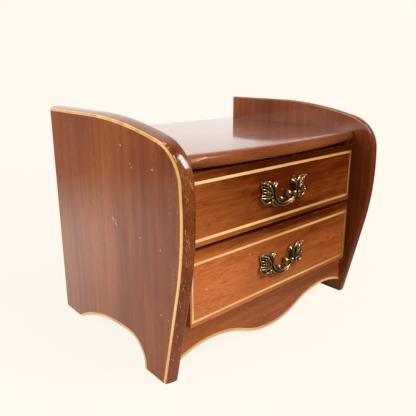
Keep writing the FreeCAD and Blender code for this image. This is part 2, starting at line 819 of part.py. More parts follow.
def drawer_front(name, bottom, top, tongue, margins, pull_height):
    """Front board: a lip outside, a tongue inside, a groove for the light line, two holes."""
    lip_half = panel_inner - size["front_gap"]
    tongue_half = box_half - size["drawer_wall"]
    body = new_body(name + "_front")
    lip = new_sketch(body, name + "_lip_outline", "XZ_Plane", -at_depth(front_face))
    rectangle(lip, (-lip_half, bottom), (lip_half, top))
    pad(body, lip, size["lip_thickness"], name + "_lip").Reversed = True
    inside = new_sketch(body, name + "_tongue_outline", "XZ_Plane", -at_depth(lip_back))
    rectangle(inside, (-tongue_half, tongue[0]), (tongue_half, tongue[1]))
    pad(body, inside, size["tongue_thickness"], name + "_tongue").Reversed = True
    groove = new_sketch(body, name + "_groove_outline", "XZ_Plane", -at_depth(front_face))
    side = lip_half - size["string_side_margin"]
    low = bottom + margins[1]
    high = top - margins[0]
    width = size["front_string"]
    rectangle(groove, (-side, low), (side, high))
    rectangle(groove, (-(side - width), low + width), (side - width, high - width))
    pocket(body, groove, size["string_depth"], name + "_groove")
    holes = new_sketch(body, name + "_hole_places", "XZ_Plane", -at_depth(front_face))
    for place in pull_places(pull_height):
        ring(holes, place, size["pull_screw"] + size["drill_clearance"])
    pocket(body, holes, size["lip_thickness"] + size["tongue_thickness"], name + "_holes")
    sinks = new_sketch(body, name + "_sink_places", "XZ_Plane", -at_depth(tongue_back))
    for place in pull_places(pull_height):
        ring(sinks, place, size["pull_screw_head"] + size["drill_clearance"])
    pocket(body, sinks, size["pull_screw_head_height"], name + "_sinks", flipped=True)
    keep(body)
    keep(mitred_frame(name + "_stringing", side, low, high))


def mitred_strip(name, length, turn, x, z):
    """Strip whose long edge is outside, with both ends cut at 45 degrees."""
    width = size["front_string"]
    strip = add("Part::Wedge", name)
    bind(strip, "Xmin", NOTHING)
    bind(strip, "Xmax", length)
    bind(strip, "X2min", width)
    bind(strip, "X2max", length - width)
    bind(strip, "Ymin", NOTHING)
    bind(strip, "Ymax", width)
    bind(strip, "Zmin", NOTHING)
    bind(strip, "Zmax", size["string_depth"])
    bind(strip, "Z2min", NOTHING)
    bind(strip, "Z2max", size["string_depth"])
    stand = FreeCAD.Rotation(Vector(1, 0, 0), 90)
    strip.Placement = FreeCAD.Placement(Vector(), FreeCAD.Rotation(Vector(0, 1, 0), -turn) * stand)
    put(strip, x, at_depth(front_face - size["string_depth"]), z)
    return strip


def mitred_frame(name, side, low, high):
    return group(name, [
        mitred_strip(name + "_lower", side * 2, 0, -side, low),
        mitred_strip(name + "_right", high - low, 90, side, low),
        mitred_strip(name + "_upper", side * 2, 180, side, high),
        mitred_strip(name + "_left", high - low, 270, -side, high),
    ])


def drawer_box(name, floor, above, back):
    """Two sides, a back and a bottom behind the front."""
    wall = size["drawer_wall"]
    base = floor + size["run_clearance"]
    top = above - size["wall_headroom"]
    inner = box_half - wall
    for word, reach in (("left", (-box_half, -inner)), ("right", (inner, box_half))):
        keep(block("%s_%s_side" % (name, word), reach, depths(back, lip_back), (base, top)))
    keep(block(name + "_back", (-inner, inner), depths(back, back + wall),
               (base, above - size["back_headroom"])))
    plate = base + size["bottom_rise"]
    keep(block(name + "_bottom", (-inner, inner), depths(back + wall, tongue_back),
               (plate, plate + size["drawer_bottom"])))
    return inner, plate + size["drawer_bottom"], top


def lining(name, inner, low, high, back):
    """Velvet tray: a floor and four walls."""
    skin = size["lining_thickness"]
    rear = back + size["drawer_wall"]
    tray = block(name + "_tray", (-inner, inner), depths(rear, tongue_back), (low, high))
    hollow = block(name + "_hollow", (skin - inner, inner - skin),
                   depths(rear + skin, tongue_back - skin), (low + skin, high + PAST))
    return keep(cut(name, tray, [hollow]))


def ring_rolls(inner, low, back):
    """Row of soft rolls across the drawer, behind its front."""
    gap = size["roll_gap"] + size["lining_thickness"]
    radius = size["roll_radius"]
    pitch = size["roll_pitch"]
    fall = root(radius * radius - pitch * pitch / 4)
    body = new_body("ring_rolls")
    outline = new_sketch(body, "rolls_outline", "YZ_Plane", gap - inner)
    front = at_depth(tongue_back - gap)
    bottom = low + size["lining_thickness"]
    centre = bottom + size["roll_height"] - radius
    valley = centre + fall
    count = int(float(size["roll_count"]))
    corners = [(front, bottom)]
    for index in range(count):
        start = front + pitch * index
        corners.append((start, valley, (start + pitch / 2, centre), -1))
    corners.append((front + pitch * count, valley))
    corners.append((front + pitch * count, bottom))
    trace(outline, corners)
    pad(body, outline, (inner - gap) * 2, "rolls_pad")
    return keep(body)


# Lobes of a pull's leaf: direction, length as a share of the longest, angle from lobe to lobe
LOBE_ANGLES = (52.0, 10.0, -32.0, -74.0)
LOBE_REACH = (1.0, 0.74, 0.68, 0.88)
LOBE_STEP = 42.0


def ray(hand, centre, angle, distance):
    """Place on a ray from a leaf's middle; angles grow upwards from the outer side."""
    across = Size(math.cos(math.radians(angle)), "cos(%.1f)" % angle)
    upwards = Size(math.sin(math.radians(angle)), "sin(%.1f)" % angle)
    return (centre[0] + hand * distance * across, centre[1] + distance * upwards)


def leaf(name, hand, centre):
    """Palmette: pointed lobes round the outer side of a post."""
    corners = []
    for angle, share in zip(LOBE_ANGLES, LOBE_REACH):
        corners.append(ray(hand, centre, angle + LOBE_STEP / 2, size["leaf_notch"]))
        corners.append(ray(hand, centre, angle, size["leaf_tip"] * share))
    corners.append(ray(hand, centre, LOBE_ANGLES[-1] - LOBE_STEP / 2, size["leaf_notch"]))
    body = new_body(name)
    outline = new_sketch(body, name + "_outline", "XZ_Plane", -at_depth(front_face))
    trace(outline, corners)
    plate = pad(body, outline, size["leaf_thickness"], name + "_plate")
    doc.recompute()
    face = min(enumerate(plate.Shape.Faces, start=1), key=lambda pair: pair[1].CenterOfMass.y)
    rounding = body.newObject("PartDesign::Fillet", name + "_rounding")
    rounding.Base = (plate, ["Face%d" % face[0]])
    bind(rounding, "Radius", size["leaf_round"])
    return body


def pull(name, height):
    """One-piece cast pull: a leaf and a knob at each end and a bow that hangs between."""
    standoff = size["bow_standoff"]
    wall = at_depth(front_face)
    bow_y = wall - standoff
    pieces = []
    for word, hand in (("left", LEFT), ("right", RIGHT)):
        centre = (hand * size["pull_spacing"] / 2, height)
        part = "%s_%s" % (name, word)
        pieces.append(leaf(part + "_leaf", hand, centre))
        pieces.append(rod(part + "_post", size["pull_post"], standoff, (centre[0], wall, height), "-Y"))
        low = centre[0] if hand == LEFT else size["bow_radius"]
        pieces.append(rod(part + "_arm", size["pull_arm"], size["pull_spacing"] / 2 - size["bow_radius"],
                          (low, bow_y, height), "+X"))
        knob = add("Part::Sphere", part + "_knob")
        bind(knob, "Radius", size["knob_radius"])
        knob.Placement = FreeCAD.Placement(Vector(), TURN_TO["-Y"])
        put(knob, centre[0], bow_y, height)
        pieces.append(knob)
        spread = (size["bow_turn"] - 180) / 2
        volute = (hand * size["bow_radius"] * cosine(spread), bow_y + size["volute_length"] / 2,
                  height + size["bow_radius"] * sine(spread))
        pieces.append(rod(part + "_volute", size["volute_radius"], size["volute_length"], volute, "-Y"))
    bow = add("Part::Torus", name + "_bow")
    bind(bow, "Radius1", size["bow_radius"])
    bind(bow, "Radius2", size["bow_section"])
    bind(bow, "Angle3", size["bow_turn"])
    stand = FreeCAD.Rotation(Vector(1, 0, 0), 90)
    first = (float(size["bow_turn"]) - 180) / 2 + 180
    bow.Placement = FreeCAD.Placement(Vector(), FreeCAD.Rotation(Vector(0, 1, 0), first) * stand)
    put(bow, NOTHING, bow_y, height)
    pieces.append(bow)
    whole = fuse(name + "_whole", pieces)
    bores = [
        rod("%s_bore_%d" % (name, index), size["pull_screw"] + size["fit"], size["screw_bite"] + size["fit"],
            (x, at_depth(front_face), z), "-Y")
        for index, (x, z) in enumerate(pull_places(height), start=1)
    ]
    return keep(cut(name, whole, bores))


def pull_screws(name, height):
    """Screws sunk into the front from inside the drawer, and through it into the posts."""
    screws = []
    seat = tongue_back + size["pull_screw_head_height"]
    length = front_face - seat + size["screw_bite"]
    for index, (x, z) in enumerate(pull_places(height), start=1):
        start = (x, at_depth(seat), z)
        shank = rod("%s_shank_%d" % (name, index), size["pull_screw"], length, start, "-Y")
        head = rod("%s_head_%d" % (name, index), size["pull_screw_head"], size["pull_screw_head_height"],
                   start, "+Y")
        screws.append(fuse("%s_%d" % (name, index), [shank, head]))
    return keep(group(name, screws))


# Movement

arbor_x = size["arbor_place"]
arbor_y = at_depth(size["arbor_depth"])
bed_top = size["floor_top"] + size["bed_thickness"]
barrel_base = bed_top + size["barrel_gap"]
cover_base = barrel_base + size["barrel_height"]
crown_base = cover_base + size["cover_thickness"]
crown_radius = size["crown_module"] * size["crown_teeth"] / 2
drive_radius = size["crown_module"] * size["pinion_teeth"] / 2
cylinder_z = crown_base + size["crown_dedendum"] + drive_radius
centre_distance = size["wheel_module"] * (size["wheel_teeth"] + size["pinion_teeth"]) / 2
governor_drop = root(centre_distance * centre_distance - size["governor_back"] * size["governor_back"])
governor_y = arbor_y + size["governor_back"]
governor_z = cylinder_z - governor_drop
worm_wheel_radius = size["wheel_module"] * size["worm_teeth"] / 2
worm_y = governor_y + worm_wheel_radius + size["worm_pitch_radius"]
ADDENDUM = 0.8
DEDENDUM = 1.1
TOOTH_SHARE = 0.43
PRESSURE = 20.0
FLANK_STEPS = 3
TURNS_BELOW_MESH = 2.75

# Places along the cylinder arbor
left_bearing = arbor_x + size["bearing_place"]
cylinder_start = left_bearing + size["bearing_thickness"] + size["part_gap"]
cylinder_end = cylinder_start + size["cylinder_length"]
wheel_start = cylinder_end + size["part_gap"]
right_bearing = wheel_start + size["gear_face"] + size["part_gap"]
worm_wheel_start = right_bearing + size["bearing_thickness"] + size["part_gap"]
worm_x = worm_wheel_start + size["gear_face"] / 2
frame_start = worm_x + size["worm_tip_radius"] + size["part_gap"] / 2

# Heights round the governor
worm_wheel_tip = worm_wheel_radius + size["wheel_module"] * ADDENDUM
plunger_z = governor_z + worm_wheel_tip + size["part_gap"] / 2 + size["plunger_radius"]
upper_arm = plunger_z + size["brake_height"] / 2 + size["part_gap"]
fan_base = cylinder_z + size["bearing_rim"] + size["part_gap"]


def involute(angle):
    return math.tan(angle) - angle


def gear(name, teeth, module, thickness, turn, start):
    """Spur gear along +X with involute flanks; its first tooth points to +Y before the turn."""
    count = int(float(teeth))
    pitch = float(module) * count / 2
    base = pitch * math.cos(math.radians(PRESSURE))
    tip = pitch + float(module) * ADDENDUM
    foot = pitch - float(module) * DEDENDUM
    half_pitch = math.pi / count
    half_tooth = 2 * half_pitch * TOOTH_SHARE / 2

    def half_angle(radius):
        pressure = math.acos(min(1.0, base / max(radius, base)))
        return half_tooth + involute(math.radians(PRESSURE)) - involute(pressure)

    start_of_flank = max(base, foot)
    rise = [foot]
    for step in range(FLANK_STEPS + 1):
        rise.append(start_of_flank + (tip - start_of_flank) * step / FLANK_STEPS)
    flank = [(radius, half_angle(radius)) for radius in rise]
    corners = []
    for tooth in range(count):
        middle = 2 * half_pitch * tooth
        corners += [(radius, middle - half) for radius, half in flank]
        corners += [(radius, middle + half) for radius, half in reversed(flank)]
    wire = [Vector(0, radius * math.cos(angle), radius * math.sin(angle)) for radius, angle in corners]
    face = Part.Face(Part.makePolygon(wire + wire[:1]))
    wheel = add("Part::Feature", name)
    wheel.Shape = face.extrude(Vector(float(thickness), 0, 0))
    wheel.Placement = FreeCAD.Placement(Vector(), FreeCAD.Rotation(Vector(1, 0, 0), turn))
    put(wheel, *start)
    return wheel


def bed_screw_places():
    inset = size["bed_screw_inset"]
    return [
        (arbor_x - size["bed_left"] + inset, arbor_y + size["bed_behind"] - inset),
        (arbor_x - size["bed_left"] + inset, arbor_y - size["bed_front"] + inset),
        (arbor_x + size["bed_right"] - inset, arbor_y + size["bed_behind"] - inset),
        (arbor_x + size["bed_right"] - inset, arbor_y - size["bed_front"] + inset),
    ]


def floor_and_bedplate():
    floor = block("floor_blank", (-panel_inner, panel_inner), depths(size["back_thickness"], apron_back),
                  (floor_underside, size["floor_top"]))
    plate = block("bed_blank", (arbor_x - size["bed_left"], arbor_x + size["bed_right"]),
                  (arbor_y - size["bed_front"], arbor_y + size["bed_behind"]), (size["floor_top"], bed_top))
    length = size["floor_thickness"] + size["bed_thickness"]
    floor_holes = []
    bed_holes = []
    screws = []
    for index, (x, y) in enumerate(bed_screw_places(), start=1):
        start = (x, y, floor_underside)
        floor_holes.append(screw_hole("floor_hole_%d" % index, start, "+Z", length))
        bed_holes.append(screw_hole("bed_hole_%d" % index, start, "+Z", length))
        screws.append(wood_screw("bed_screw_%d" % index, start, "+Z", length))
    room = size["arbor_radius"] + size["arbor_floor_room"]
    floor_holes.append(rod("floor_arbor_room", room, length, (arbor_x, arbor_y, floor_underside), "+Z"))
    bore = size["arbor_radius"] + size["fit"]
    bed_holes.append(rod("bed_bore", bore, length, (arbor_x, arbor_y, floor_underside), "+Z"))
    keep(cut("floor_board", floor, floor_holes))
    keep(cut("movement_bedplate", plate, bed_holes))
    keep(group("movement_screws", screws))


def winding():
    """Arbor through the floor board, with its collar, and the wing key below."""
    key_top = floor_underside - size["key_drop"]
    key_foot = key_top - size["key_hub_height"]
    axis = (arbor_x, arbor_y)
    shaft = rod("arbor_shaft", size["arbor_radius"], crown_base + size["part_gap"] - key_foot,
                axis + (key_foot,), "+Z")
    collar = rod("arbor_collar", size["collar_radius"], size["barrel_gap"] - 2 * size["fit"],
                 axis + (bed_top + size["fit"],), "+Z")
    keep(fuse("winding_arbor", [shaft, collar]))
    hub = rod("key_hub", size["key_hub_radius"], size["key_hub_height"], axis + (key_foot,), "+Z")
    middle = (key_top + key_foot) / 2
    wing_front = arbor_y + size["key_wing_thickness"] / 2
    wings = []
    holes = []
    for index, hand in enumerate((LEFT, RIGHT), start=1):
        start = (arbor_x + hand * size["key_wing_place"], wing_front, middle)
        wings.append(rod("key_wing_%d" % index, size["key_wing_radius"], size["key_wing_thickness"],
                         start, "-Y"))
        holes.append(rod("key_hole_%d" % index, size["key_hole_radius"], size["key_wing_thickness"],
                         start, "-Y"))
    bore = rod("key_bore", size["arbor_radius"], size["key_hub_height"], axis + (key_foot,), "+Z")
    keep(cut("winding_key", fuse("key_blank", [hub] + wings), holes + [bore]))


def barrel():
    axis = (arbor_x, arbor_y)
    bore = size["arbor_radius"] + size["fit"]
    inner = size["barrel_radius"] - size["barrel_wall"]
    drum = rod("barrel_drum", size["barrel_radius"], size["barrel_height"], axis + (barrel_base,), "+Z")
    hollow = rod("barrel_hollow", inner, size["barrel_height"],
                 axis + (barrel_base + size["barrel_wall"],), "+Z")
    hole = rod("barrel_bore", bore, size["barrel_height"], axis + (barrel_base,), "+Z")
    keep(cut("spring_barrel", drum, [hollow, hole]))
    crown_wheel(bore)
    mainspring(inner)


def crown_wheel(bore):
    """Barrel's cover with teeth that stand up near its rim."""
    body = new_body("crown_wheel")
    disc = new_sketch(body, "crown_disc", "XY_Plane")
    ring(disc, (NOTHING, NOTHING), size["barrel_radius"])
    ring(disc, (NOTHING, NOTHING), bore)
    pad(body, disc, size["cover_thickness"], "crown_cover")
    pitch = size["crown_module"] * math.pi
    slope = math.tan(math.radians(PRESSURE))
    half = pitch * TOOTH_SHARE / 2 - size["fit"]
    foot = size["crown_dedendum"] + size["crown_sink"]
    plane = size["cover_thickness"] + size["crown_dedendum"]
    tooth = new_sketch(body, "crown_tooth", "YZ_Plane", crown_radius - size["crown_face"] / 2)
    low = half + foot * slope
    high = half - size["crown_addendum"] * slope
    trace(tooth, [
        (-low, plane - foot),
        (low, plane - foot),
        (high, plane + size["crown_addendum"]),
        (-high, plane + size["crown_addendum"]),
    ])
    first = pad(body, tooth, size["crown_face"], "crown_first_tooth")
    pattern = body.newObject("PartDesign::PolarPattern", "crown_teeth_round")
    pattern.Originals = [first]
    pattern.Axis = ([f for f in body.Origin.OriginFeatures if f.Role == "Z_Axis"][0], [""])
    pattern.Angle = 360
    bind(pattern, "Occurrences", size["crown_teeth"])
    body.Tip = pattern
    put(body, arbor_x, arbor_y, cover_base)
    keep(body)


def mainspring(inner):
    """Flat strip in a spiral of half turns round two centres."""
    half_strip = float(size["coil_thickness"]) / 2
    step = float(size["coil_pitch"]) / 2
    outermost = float(inner) - float(size["coil_rim_gap"]) - half_strip
    halves = int(float(size["coil_turns"])) * 2
    edges = []
    for side in (-half_strip, half_strip):
        for index in range(halves):
            radius = outermost - step * index
            centre = step / 2 if index % 2 == 0 else -step / 2
            centre = centre - step / 2
            way = 1 if index % 2 == 0 else -1
            here = Vector(centre + way * (radius + side), 0, 0)
            top = Vector(centre, way * (radius + side), 0)
            there = Vector(centre - way * (radius + side), 0, 0)
            edges.append(Part.Arc(here, top, there).toShape())
    ends = []
    for index in (0, halves - 1):
        start = edges[index].Vertexes[0 if index == 0 else 1].Point
        end = edges[index + halves].Vertexes[0 if index == 0 else 1].Point
        ends.append(Part.LineSegment(start, end).toShape())
    face = Part.Face(Part.Wire(Part.__sortEdges__(edges + ends)))
    room = size["barrel_height"] - size["barrel_wall"] - 2 * size["coil_side_gap"]
    strip = add("Part::Feature", "mainspring")
    strip.Shape = face.extrude(Vector(0, 0, float(room)))
    put(strip, arbor_x, arbor_y, barrel_base + size["barrel_wall"] + size["coil_side_gap"])
    keep(strip)


def bearings():
    bore = size["cylinder_arbor"] + size["fit"]
    thickness = size["bearing_thickness"]
    top = cylinder_z + size["bearing_rim"]
    half = size["bearing_width"] / 2
    post = block("left_bearing_blank", (left_bearing, left_bearing + thickness),
                 (arbor_y - half, arbor_y + half), (bed_top, top))
    keep(cut("left_bearing", post, [
        rod("left_bearing_bore", bore, thickness, (left_bearing, arbor_y, cylinder_z), "+X")]))
    rim = size["bearing_rim"]
    plate = block("right_bearing_blank", (right_bearing, right_bearing + thickness),
                  (arbor_y - rim, governor_y + rim), (bed_top, top))
    small = size["governor_arbor"] + size["fit"]
    keep(cut("right_bearing", plate, [
        rod("right_bearing_bore", bore, thickness, (right_bearing, arbor_y, cylinder_z), "+X"),
        rod("right_governor_bore", small, thickness, (right_bearing, governor_y, governor_z), "+X")]))


def cylinder():
    start = arbor_x + crown_radius - size["crown_face"] / 2
    end = right_bearing + size["bearing_thickness"]
    axis = (arbor_y, cylinder_z)
    shaft = rod("cylinder_shaft", size["cylinder_arbor"], end - start, (start,) + axis, "+X")
    half_step = 180.0 / float(size["pinion_teeth"])
    pinion = gear("cylinder_pinion", size["pinion_teeth"], size["crown_module"], size["crown_face"],
                  270.0 + half_step, (start,) + axis)
    keep(fuse("cylinder_arbor", [shaft, pinion]))
    barrel_of_tune = rod("cylinder_blank", size["cylinder_radius"], size["cylinder_length"],
                         (cylinder_start,) + axis, "+X")
    bore = rod("cylinder_bore", size["cylinder_arbor"], size["cylinder_length"],
               (cylinder_start,) + axis, "+X")
    keep(cut("tune_cylinder", barrel_of_tune, [bore]))
    tune_pins()
    disc = gear("cylinder_wheel_teeth", size["wheel_teeth"], size["wheel_module"], size["gear_face"],
                mesh_angle(), (wheel_start,) + axis)
    hole = rod("cylinder_wheel_bore", size["cylinder_arbor"], size["gear_face"],
               (wheel_start,) + axis, "+X")
    keep(cut("cylinder_wheel", disc, [hole]))


def mesh_angle():
    """Direction from the cylinder arbor to the governor arbor, from +Y towards +Z."""
    return math.degrees(math.atan2(-float(governor_drop), float(size["governor_back"])))


# Angles between the tune pins, in degrees: from track to track, and an uneven shift
TRACK_TURN = 47
TRACK_SHIFT = 11
SHIFT_CYCLE = 7


def tune_pins():
    """A few pins on each track, spread by a simple rule."""
    tracks = int(float(size["tine_count"]))
    per_track = int(float(size["pins_per_tine"]))
    pitch = float(size["cylinder_length"]) / tracks
    low = float(size["cylinder_radius"] - size["pin_root"])
    length = float(size["pin_root"] + size["pin_height"])
    pins = []
    for track in range(tracks):
        for number in range(per_track):
            shift = TRACK_SHIFT * (track * track % SHIFT_CYCLE)
            angle = math.radians(TRACK_TURN * track + 360 * number / per_track + shift)
            out = Vector(0, math.cos(angle), math.sin(angle))
            foot = Vector((track + 0.5) * pitch, 0, 0) + out * low
            pins.append(Part.makeCylinder(float(size["pin_radius"]), length, foot, out))
    group_of_pins = add("Part::Feature", "tune_pins")
    group_of_pins.Shape = Part.makeCompound(pins)
    put(group_of_pins, cylinder_start, arbor_y, cylinder_z)
    keep(group_of_pins)


comb_tips = size["arbor_depth"] + size["cylinder_radius"] + size["pin_height"] + size["comb_gap"]
comb_heel = comb_tips + size["comb_depth"]
comb_underside = cylinder_z - size["comb_thickness"]


def comb():
    """Steel comb: a plate slotted into teeth, on a block and held by three screws."""
    body = new_body("comb")
    plate = new_sketch(body, "comb_outline", "XY_Plane")
    rectangle(plate, (NOTHING, NOTHING), (size["cylinder_length"], size["comb_depth"]))
    pad(body, plate, size["comb_thickness"], "comb_plate")
    tine = size["cylinder_length"] / size["tine_count"]
    slot = new_sketch(body, "comb_slot", "XY_Plane", size["comb_thickness"])
    rectangle(slot, (tine - size["tine_slot"] / 2, size["comb_depth"] - size["tine_length"]),
              (tine + size["tine_slot"] / 2, size["comb_depth"]))
    first = pocket(body, slot, size["comb_thickness"], "comb_first_slot")
    pattern = body.newObject("PartDesign::LinearPattern", "comb_slots")
    pattern.Originals = [first]
    pattern.Direction = ([f for f in body.Origin.OriginFeatures if f.Role == "X_Axis"][0], [""])
    bind(pattern, "Length", size["cylinder_length"] - 2 * tine)
    bind(pattern, "Occurrences", size["tine_count"] - 1)
    body.Tip = pattern
    holes = new_sketch(body, "comb_hole_places", "XY_Plane", size["comb_thickness"])
    for x in screw_line():
        ring(holes, (x - cylinder_start, size["comb_seat"] / 2), size["small_screw"] + size["fit"])
    pocket(body, holes, size["comb_thickness"], "comb_holes")
    put(body, cylinder_start, at_depth(comb_heel), comb_underside)
    keep(body)
    seat = block("comb_base_blank", (cylinder_start, cylinder_end),
                 depths(comb_heel - size["comb_seat"], comb_heel), (bed_top, comb_underside))
    bite = size["comb_bite"]
    screws = []
    bores = []
    seat_y = at_depth(comb_heel - size["comb_seat"] / 2)
    for index, x in enumerate(screw_line(), start=1):
        start = (x, seat_y, cylinder_z)
        shank = rod("comb_shank_%d" % index, size["small_screw"], bite, start, "-Z")
        head = rod("comb_head_%d" % index, size["small_head"], size["small_head_height"], start, "+Z")
        screws.append(fuse("comb_screw_%d" % index, [shank, head]))
        bores.append(rod("comb_base_bore_%d" % index, size["small_screw"] + size["fit"], bite, start, "-Z"))
    keep(cut("comb_base", seat, bores))
    keep(group("comb_screws", screws))


def screw_line():
    third = size["cylinder_length"] / 3
    return [cylinder_start + third * (index + 0.5) for index in range(3)]


def governor():
    axis = (governor_y, governor_z)
    start = wheel_start - size["part_gap"] / 2
    end = frame_start + size["bearing_thickness"] + size["part_gap"] / 2
    shaft = rod("governor_shaft", size["governor_arbor"], end - start, (start,) + axis, "+X")
    half_step = 180.0 / float(size["pinion_teeth"])
    pinion = gear("governor_pinion_teeth", size["pinion_teeth"], size["wheel_module"], size["gear_face"],
                  mesh_angle() + 180.0 + half_step, (wheel_start,) + axis)
    keep(fuse("governor_pinion", [shaft, pinion]))
    wheel = gear("worm_wheel_teeth", size["worm_teeth"], size["wheel_module"], size["gear_face"],
                 180.0 / float(size["worm_teeth"]), (worm_wheel_start,) + axis)
    hole = rod("worm_wheel_bore", size["governor_arbor"], size["gear_face"],
               (worm_wheel_start,) + axis, "+X")
    keep(cut("worm_wheel", wheel, [hole]))


def governor_frame():
    """Plate and two arms that hold the governor's two arbors."""
    thickness = size["bearing_thickness"]
    reach = size["bearing_rim"] / 2
    top = upper_arm + size["arm_thickness"]
    plate = block("frame_plate", (frame_start, frame_start + thickness),
                  (governor_y - size["bearing_rim"], worm_y + reach), (bed_top, top))
    arm_start = worm_x - size["worm_root_radius"]
    arms = [
        block("frame_arm_%d" % index, (arm_start, frame_start + thickness),
              (worm_y - reach, worm_y + reach), (low, low + size["arm_thickness"]))
        for index, low in enumerate((bed_top, upper_arm), start=1)
    ]
    bore = size["governor_arbor"] + size["fit"]
    holes = [
        rod("frame_bore", bore, thickness, (frame_start, governor_y, governor_z), "+X"),
        rod("frame_worm_bore", bore, top - bed_top, (worm_x, worm_y, bed_top), "+Z"),
    ]
    keep(cut("governor_frame", fuse("frame_blank", [plate] + arms), holes))


def worm():
    """Worm with its thread, on an arbor with the collar that the plunger brakes."""
    pitch = size["wheel_module"] * math.pi
    middle = size["worm_pitch_radius"]
    outer = size["worm_tip_radius"]
    inner = size["worm_root_radius"] - size["fit"]
    half = pitch * TOOTH_SHARE / 2 - size["fit"]
    slope = math.tan(math.radians(PRESSURE))
    body = new_body("worm_thread")
    section = new_sketch(body, "thread_section", "XZ_Plane")
    trace(section, [
        (inner, -(half + (middle - inner) * slope)),
        (outer, -(half - (outer - middle) * slope)),
        (outer, half - (outer - middle) * slope),
        (inner, half + (middle - inner) * slope),
    ])
    thread = body.newObject("PartDesign::AdditiveHelix", "thread_sweep")
    thread.Profile = section
    thread.ReferenceAxis = (section, ["V_Axis"])
    thread.Mode = "pitch-height-angle"
    bind(thread, "Pitch", pitch)
    bind(thread, "Height", size["worm_length"])
    start_z = governor_z - pitch * TURNS_BELOW_MESH
    put(body, worm_x, worm_y, start_z)
    axis = (worm_x, worm_y)
    low = bed_top + size["fit"]
    high = fan_base + size["fan_height"]
    core = rod("worm_core", size["worm_root_radius"], size["worm_length"] + pitch,
               axis + (start_z - pitch / 2,), "+Z")
    shaft = rod("worm_shaft", size["governor_arbor"], high - low, axis + (low,), "+Z")
    collar = rod("worm_collar", size["brake_collar"], size["brake_height"],
                 axis + (plunger_z - size["brake_height"] / 2,), "+Z")
    keep(fuse("governor_worm", [body, core, shaft, collar]))
    hub = rod("fan_hub", size["fan_hub"], size["fan_height"], axis + (fan_base,), "+Z")
    blade = block("fan_blade", (worm_x - size["fan_reach"], worm_x + size["fan_reach"]),
                  (worm_y - size["fan_thickness"] / 2, worm_y + size["fan_thickness"] / 2),
                  (fan_base, fan_base + size["fan_height"]))
    hole = rod("fan_bore", size["governor_arbor"], size["fan_height"], axis + (fan_base,), "+Z")
    keep(cut("governor_fan", fuse("fan_blank", [hub, blade]), [hole]))


lower_drawer_back = partition_front + size["lower_back_space"]


def stop_plunger():
    """Rod that the closed lower drawer pushes against the governor, and what guides it."""
    rear = at_depth(size["partition_depth"])
    front = at_depth(partition_front)
    half = opening_half
    board = block("partition_blank", (-half, half), (front, rear), (size["floor_top"], divider_bottom))
    bore = size["plunger_radius"] + size["fit"]
    keep(cut("movement_partition", board, [
        rod("partition_bore", bore, size["partition_thickness"], (worm_x, rear, plunger_z), "-Y")]))
    near = worm_y - size["brake_collar"] - size["plunger_gap"]
    far = at_depth(lower_drawer_back - size["plunger_gap"])
    keep(rod("stop_plunger", size["plunger_radius"], near - far, (worm_x, near, plunger_z), "-Y"))
    half_guide = size["guide_width"] / 2
    guide_rear = arbor_y - size["guide_depth"]
    guide = block("guide_blank", (worm_x - half_guide, worm_x + half_guide),
                  (guide_rear - size["bearing_thickness"], guide_rear), (bed_top, plunger_z + half_guide))
    keep(cut("plunger_guide", guide, [
        rod("guide_bore", bore, size["bearing_thickness"], (worm_x, guide_rear, plunger_z), "-Y")]))


# Whole box

def upper_drawer():
    base = divider_top + size["run_clearance"]
    bottom = divider_top - size["upper_front_lap"]
    top = top_underside - size["upper_top_gap"]
    height = (bottom + top) / 2 + size["pull_rise"]
    back = size["back_thickness"] + size["upper_back_space"]
    tongue = (base, top_underside - size["wall_headroom"])
    margins = (size["upper_string_top"], size["upper_string_bottom"])
    drawer_front("upper_drawer", bottom, top, tongue, margins, height)
    inner, low, high = drawer_box("upper_drawer", divider_top, top_underside, back)
    lining("upper_lining", inner, low, high - size["lining_drop"], back)
    ring_rolls(inner, low, back)
    pull("upper_pull", height)
    pull_screws("upper_pull_screws", height)
    return drawer_stop("upper_stop", back, size["upper_travel"], top_underside)


def lower_drawer():
    base = size["floor_top"] + size["run_clearance"]
    bottom = size["floor_top"] + size["lower_front_rise"]
    top = divider_bottom + size["lower_front_lap"]
    height = (bottom + top) / 2 + size["pull_rise"]
    tongue = (base, divider_bottom - size["wall_headroom"])
    margins = (size["lower_string_top"], size["lower_string_bottom"])
    drawer_front("lower_drawer", bottom, top, tongue, margins, height)
    inner, low, high = drawer_box("lower_drawer", size["floor_top"], divider_bottom, lower_drawer_back)
    lining("lower_lining", inner, low, high - size["lining_drop"], lower_drawer_back)
    pull("lower_pull", height)
    pull_screws("lower_pull_screws", height)
    return drawer_stop("lower_stop", lower_drawer_back, size["lower_travel"], divider_bottom)


for word, hand in (("left", LEFT), ("right", RIGHT)):
    side_panel(word + "_side_panel", hand)
    edge_stringing(word + "_edge_stringing", hand)
    arch_stringing(word + "_arch_stringing", hand)
top_board()
carcass()
glue_blocks()
apron()
keep(group("drawer_stops", [upper_drawer(), lower_drawer()]))
floor_and_bedplate()
winding()
barrel()
bearings()
cylinder()
comb()
governor()
governor_frame()
worm()
stop_plunger()


def finish():
    doc.recompute()
    failed = [thing.Label for thing in doc.Objects if "Invalid" in thing.State or "Error" in thing.State]
    if failed:
        raise RuntimeError("failed objects: " + ", ".join(failed))
    for name, thing in nodes.items():
        if thing.Shape.isNull() or not thing.Shape.isValid():
            raise RuntimeError("bad shape: " + name)
    os.makedirs("parts", exist_ok=True)
    for name, thing in nodes.items():
        thing.Shape.exportStep("parts/%s.step" % name)
        print("%-24s %2d solids %12.3f mm3" % (name, len(thing.Shape.Solids), thing.Shape.Volume))


finish()
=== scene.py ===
import math

import bmesh
import bpy
import numpy as np
from mathutils import Matrix, Vector, noise


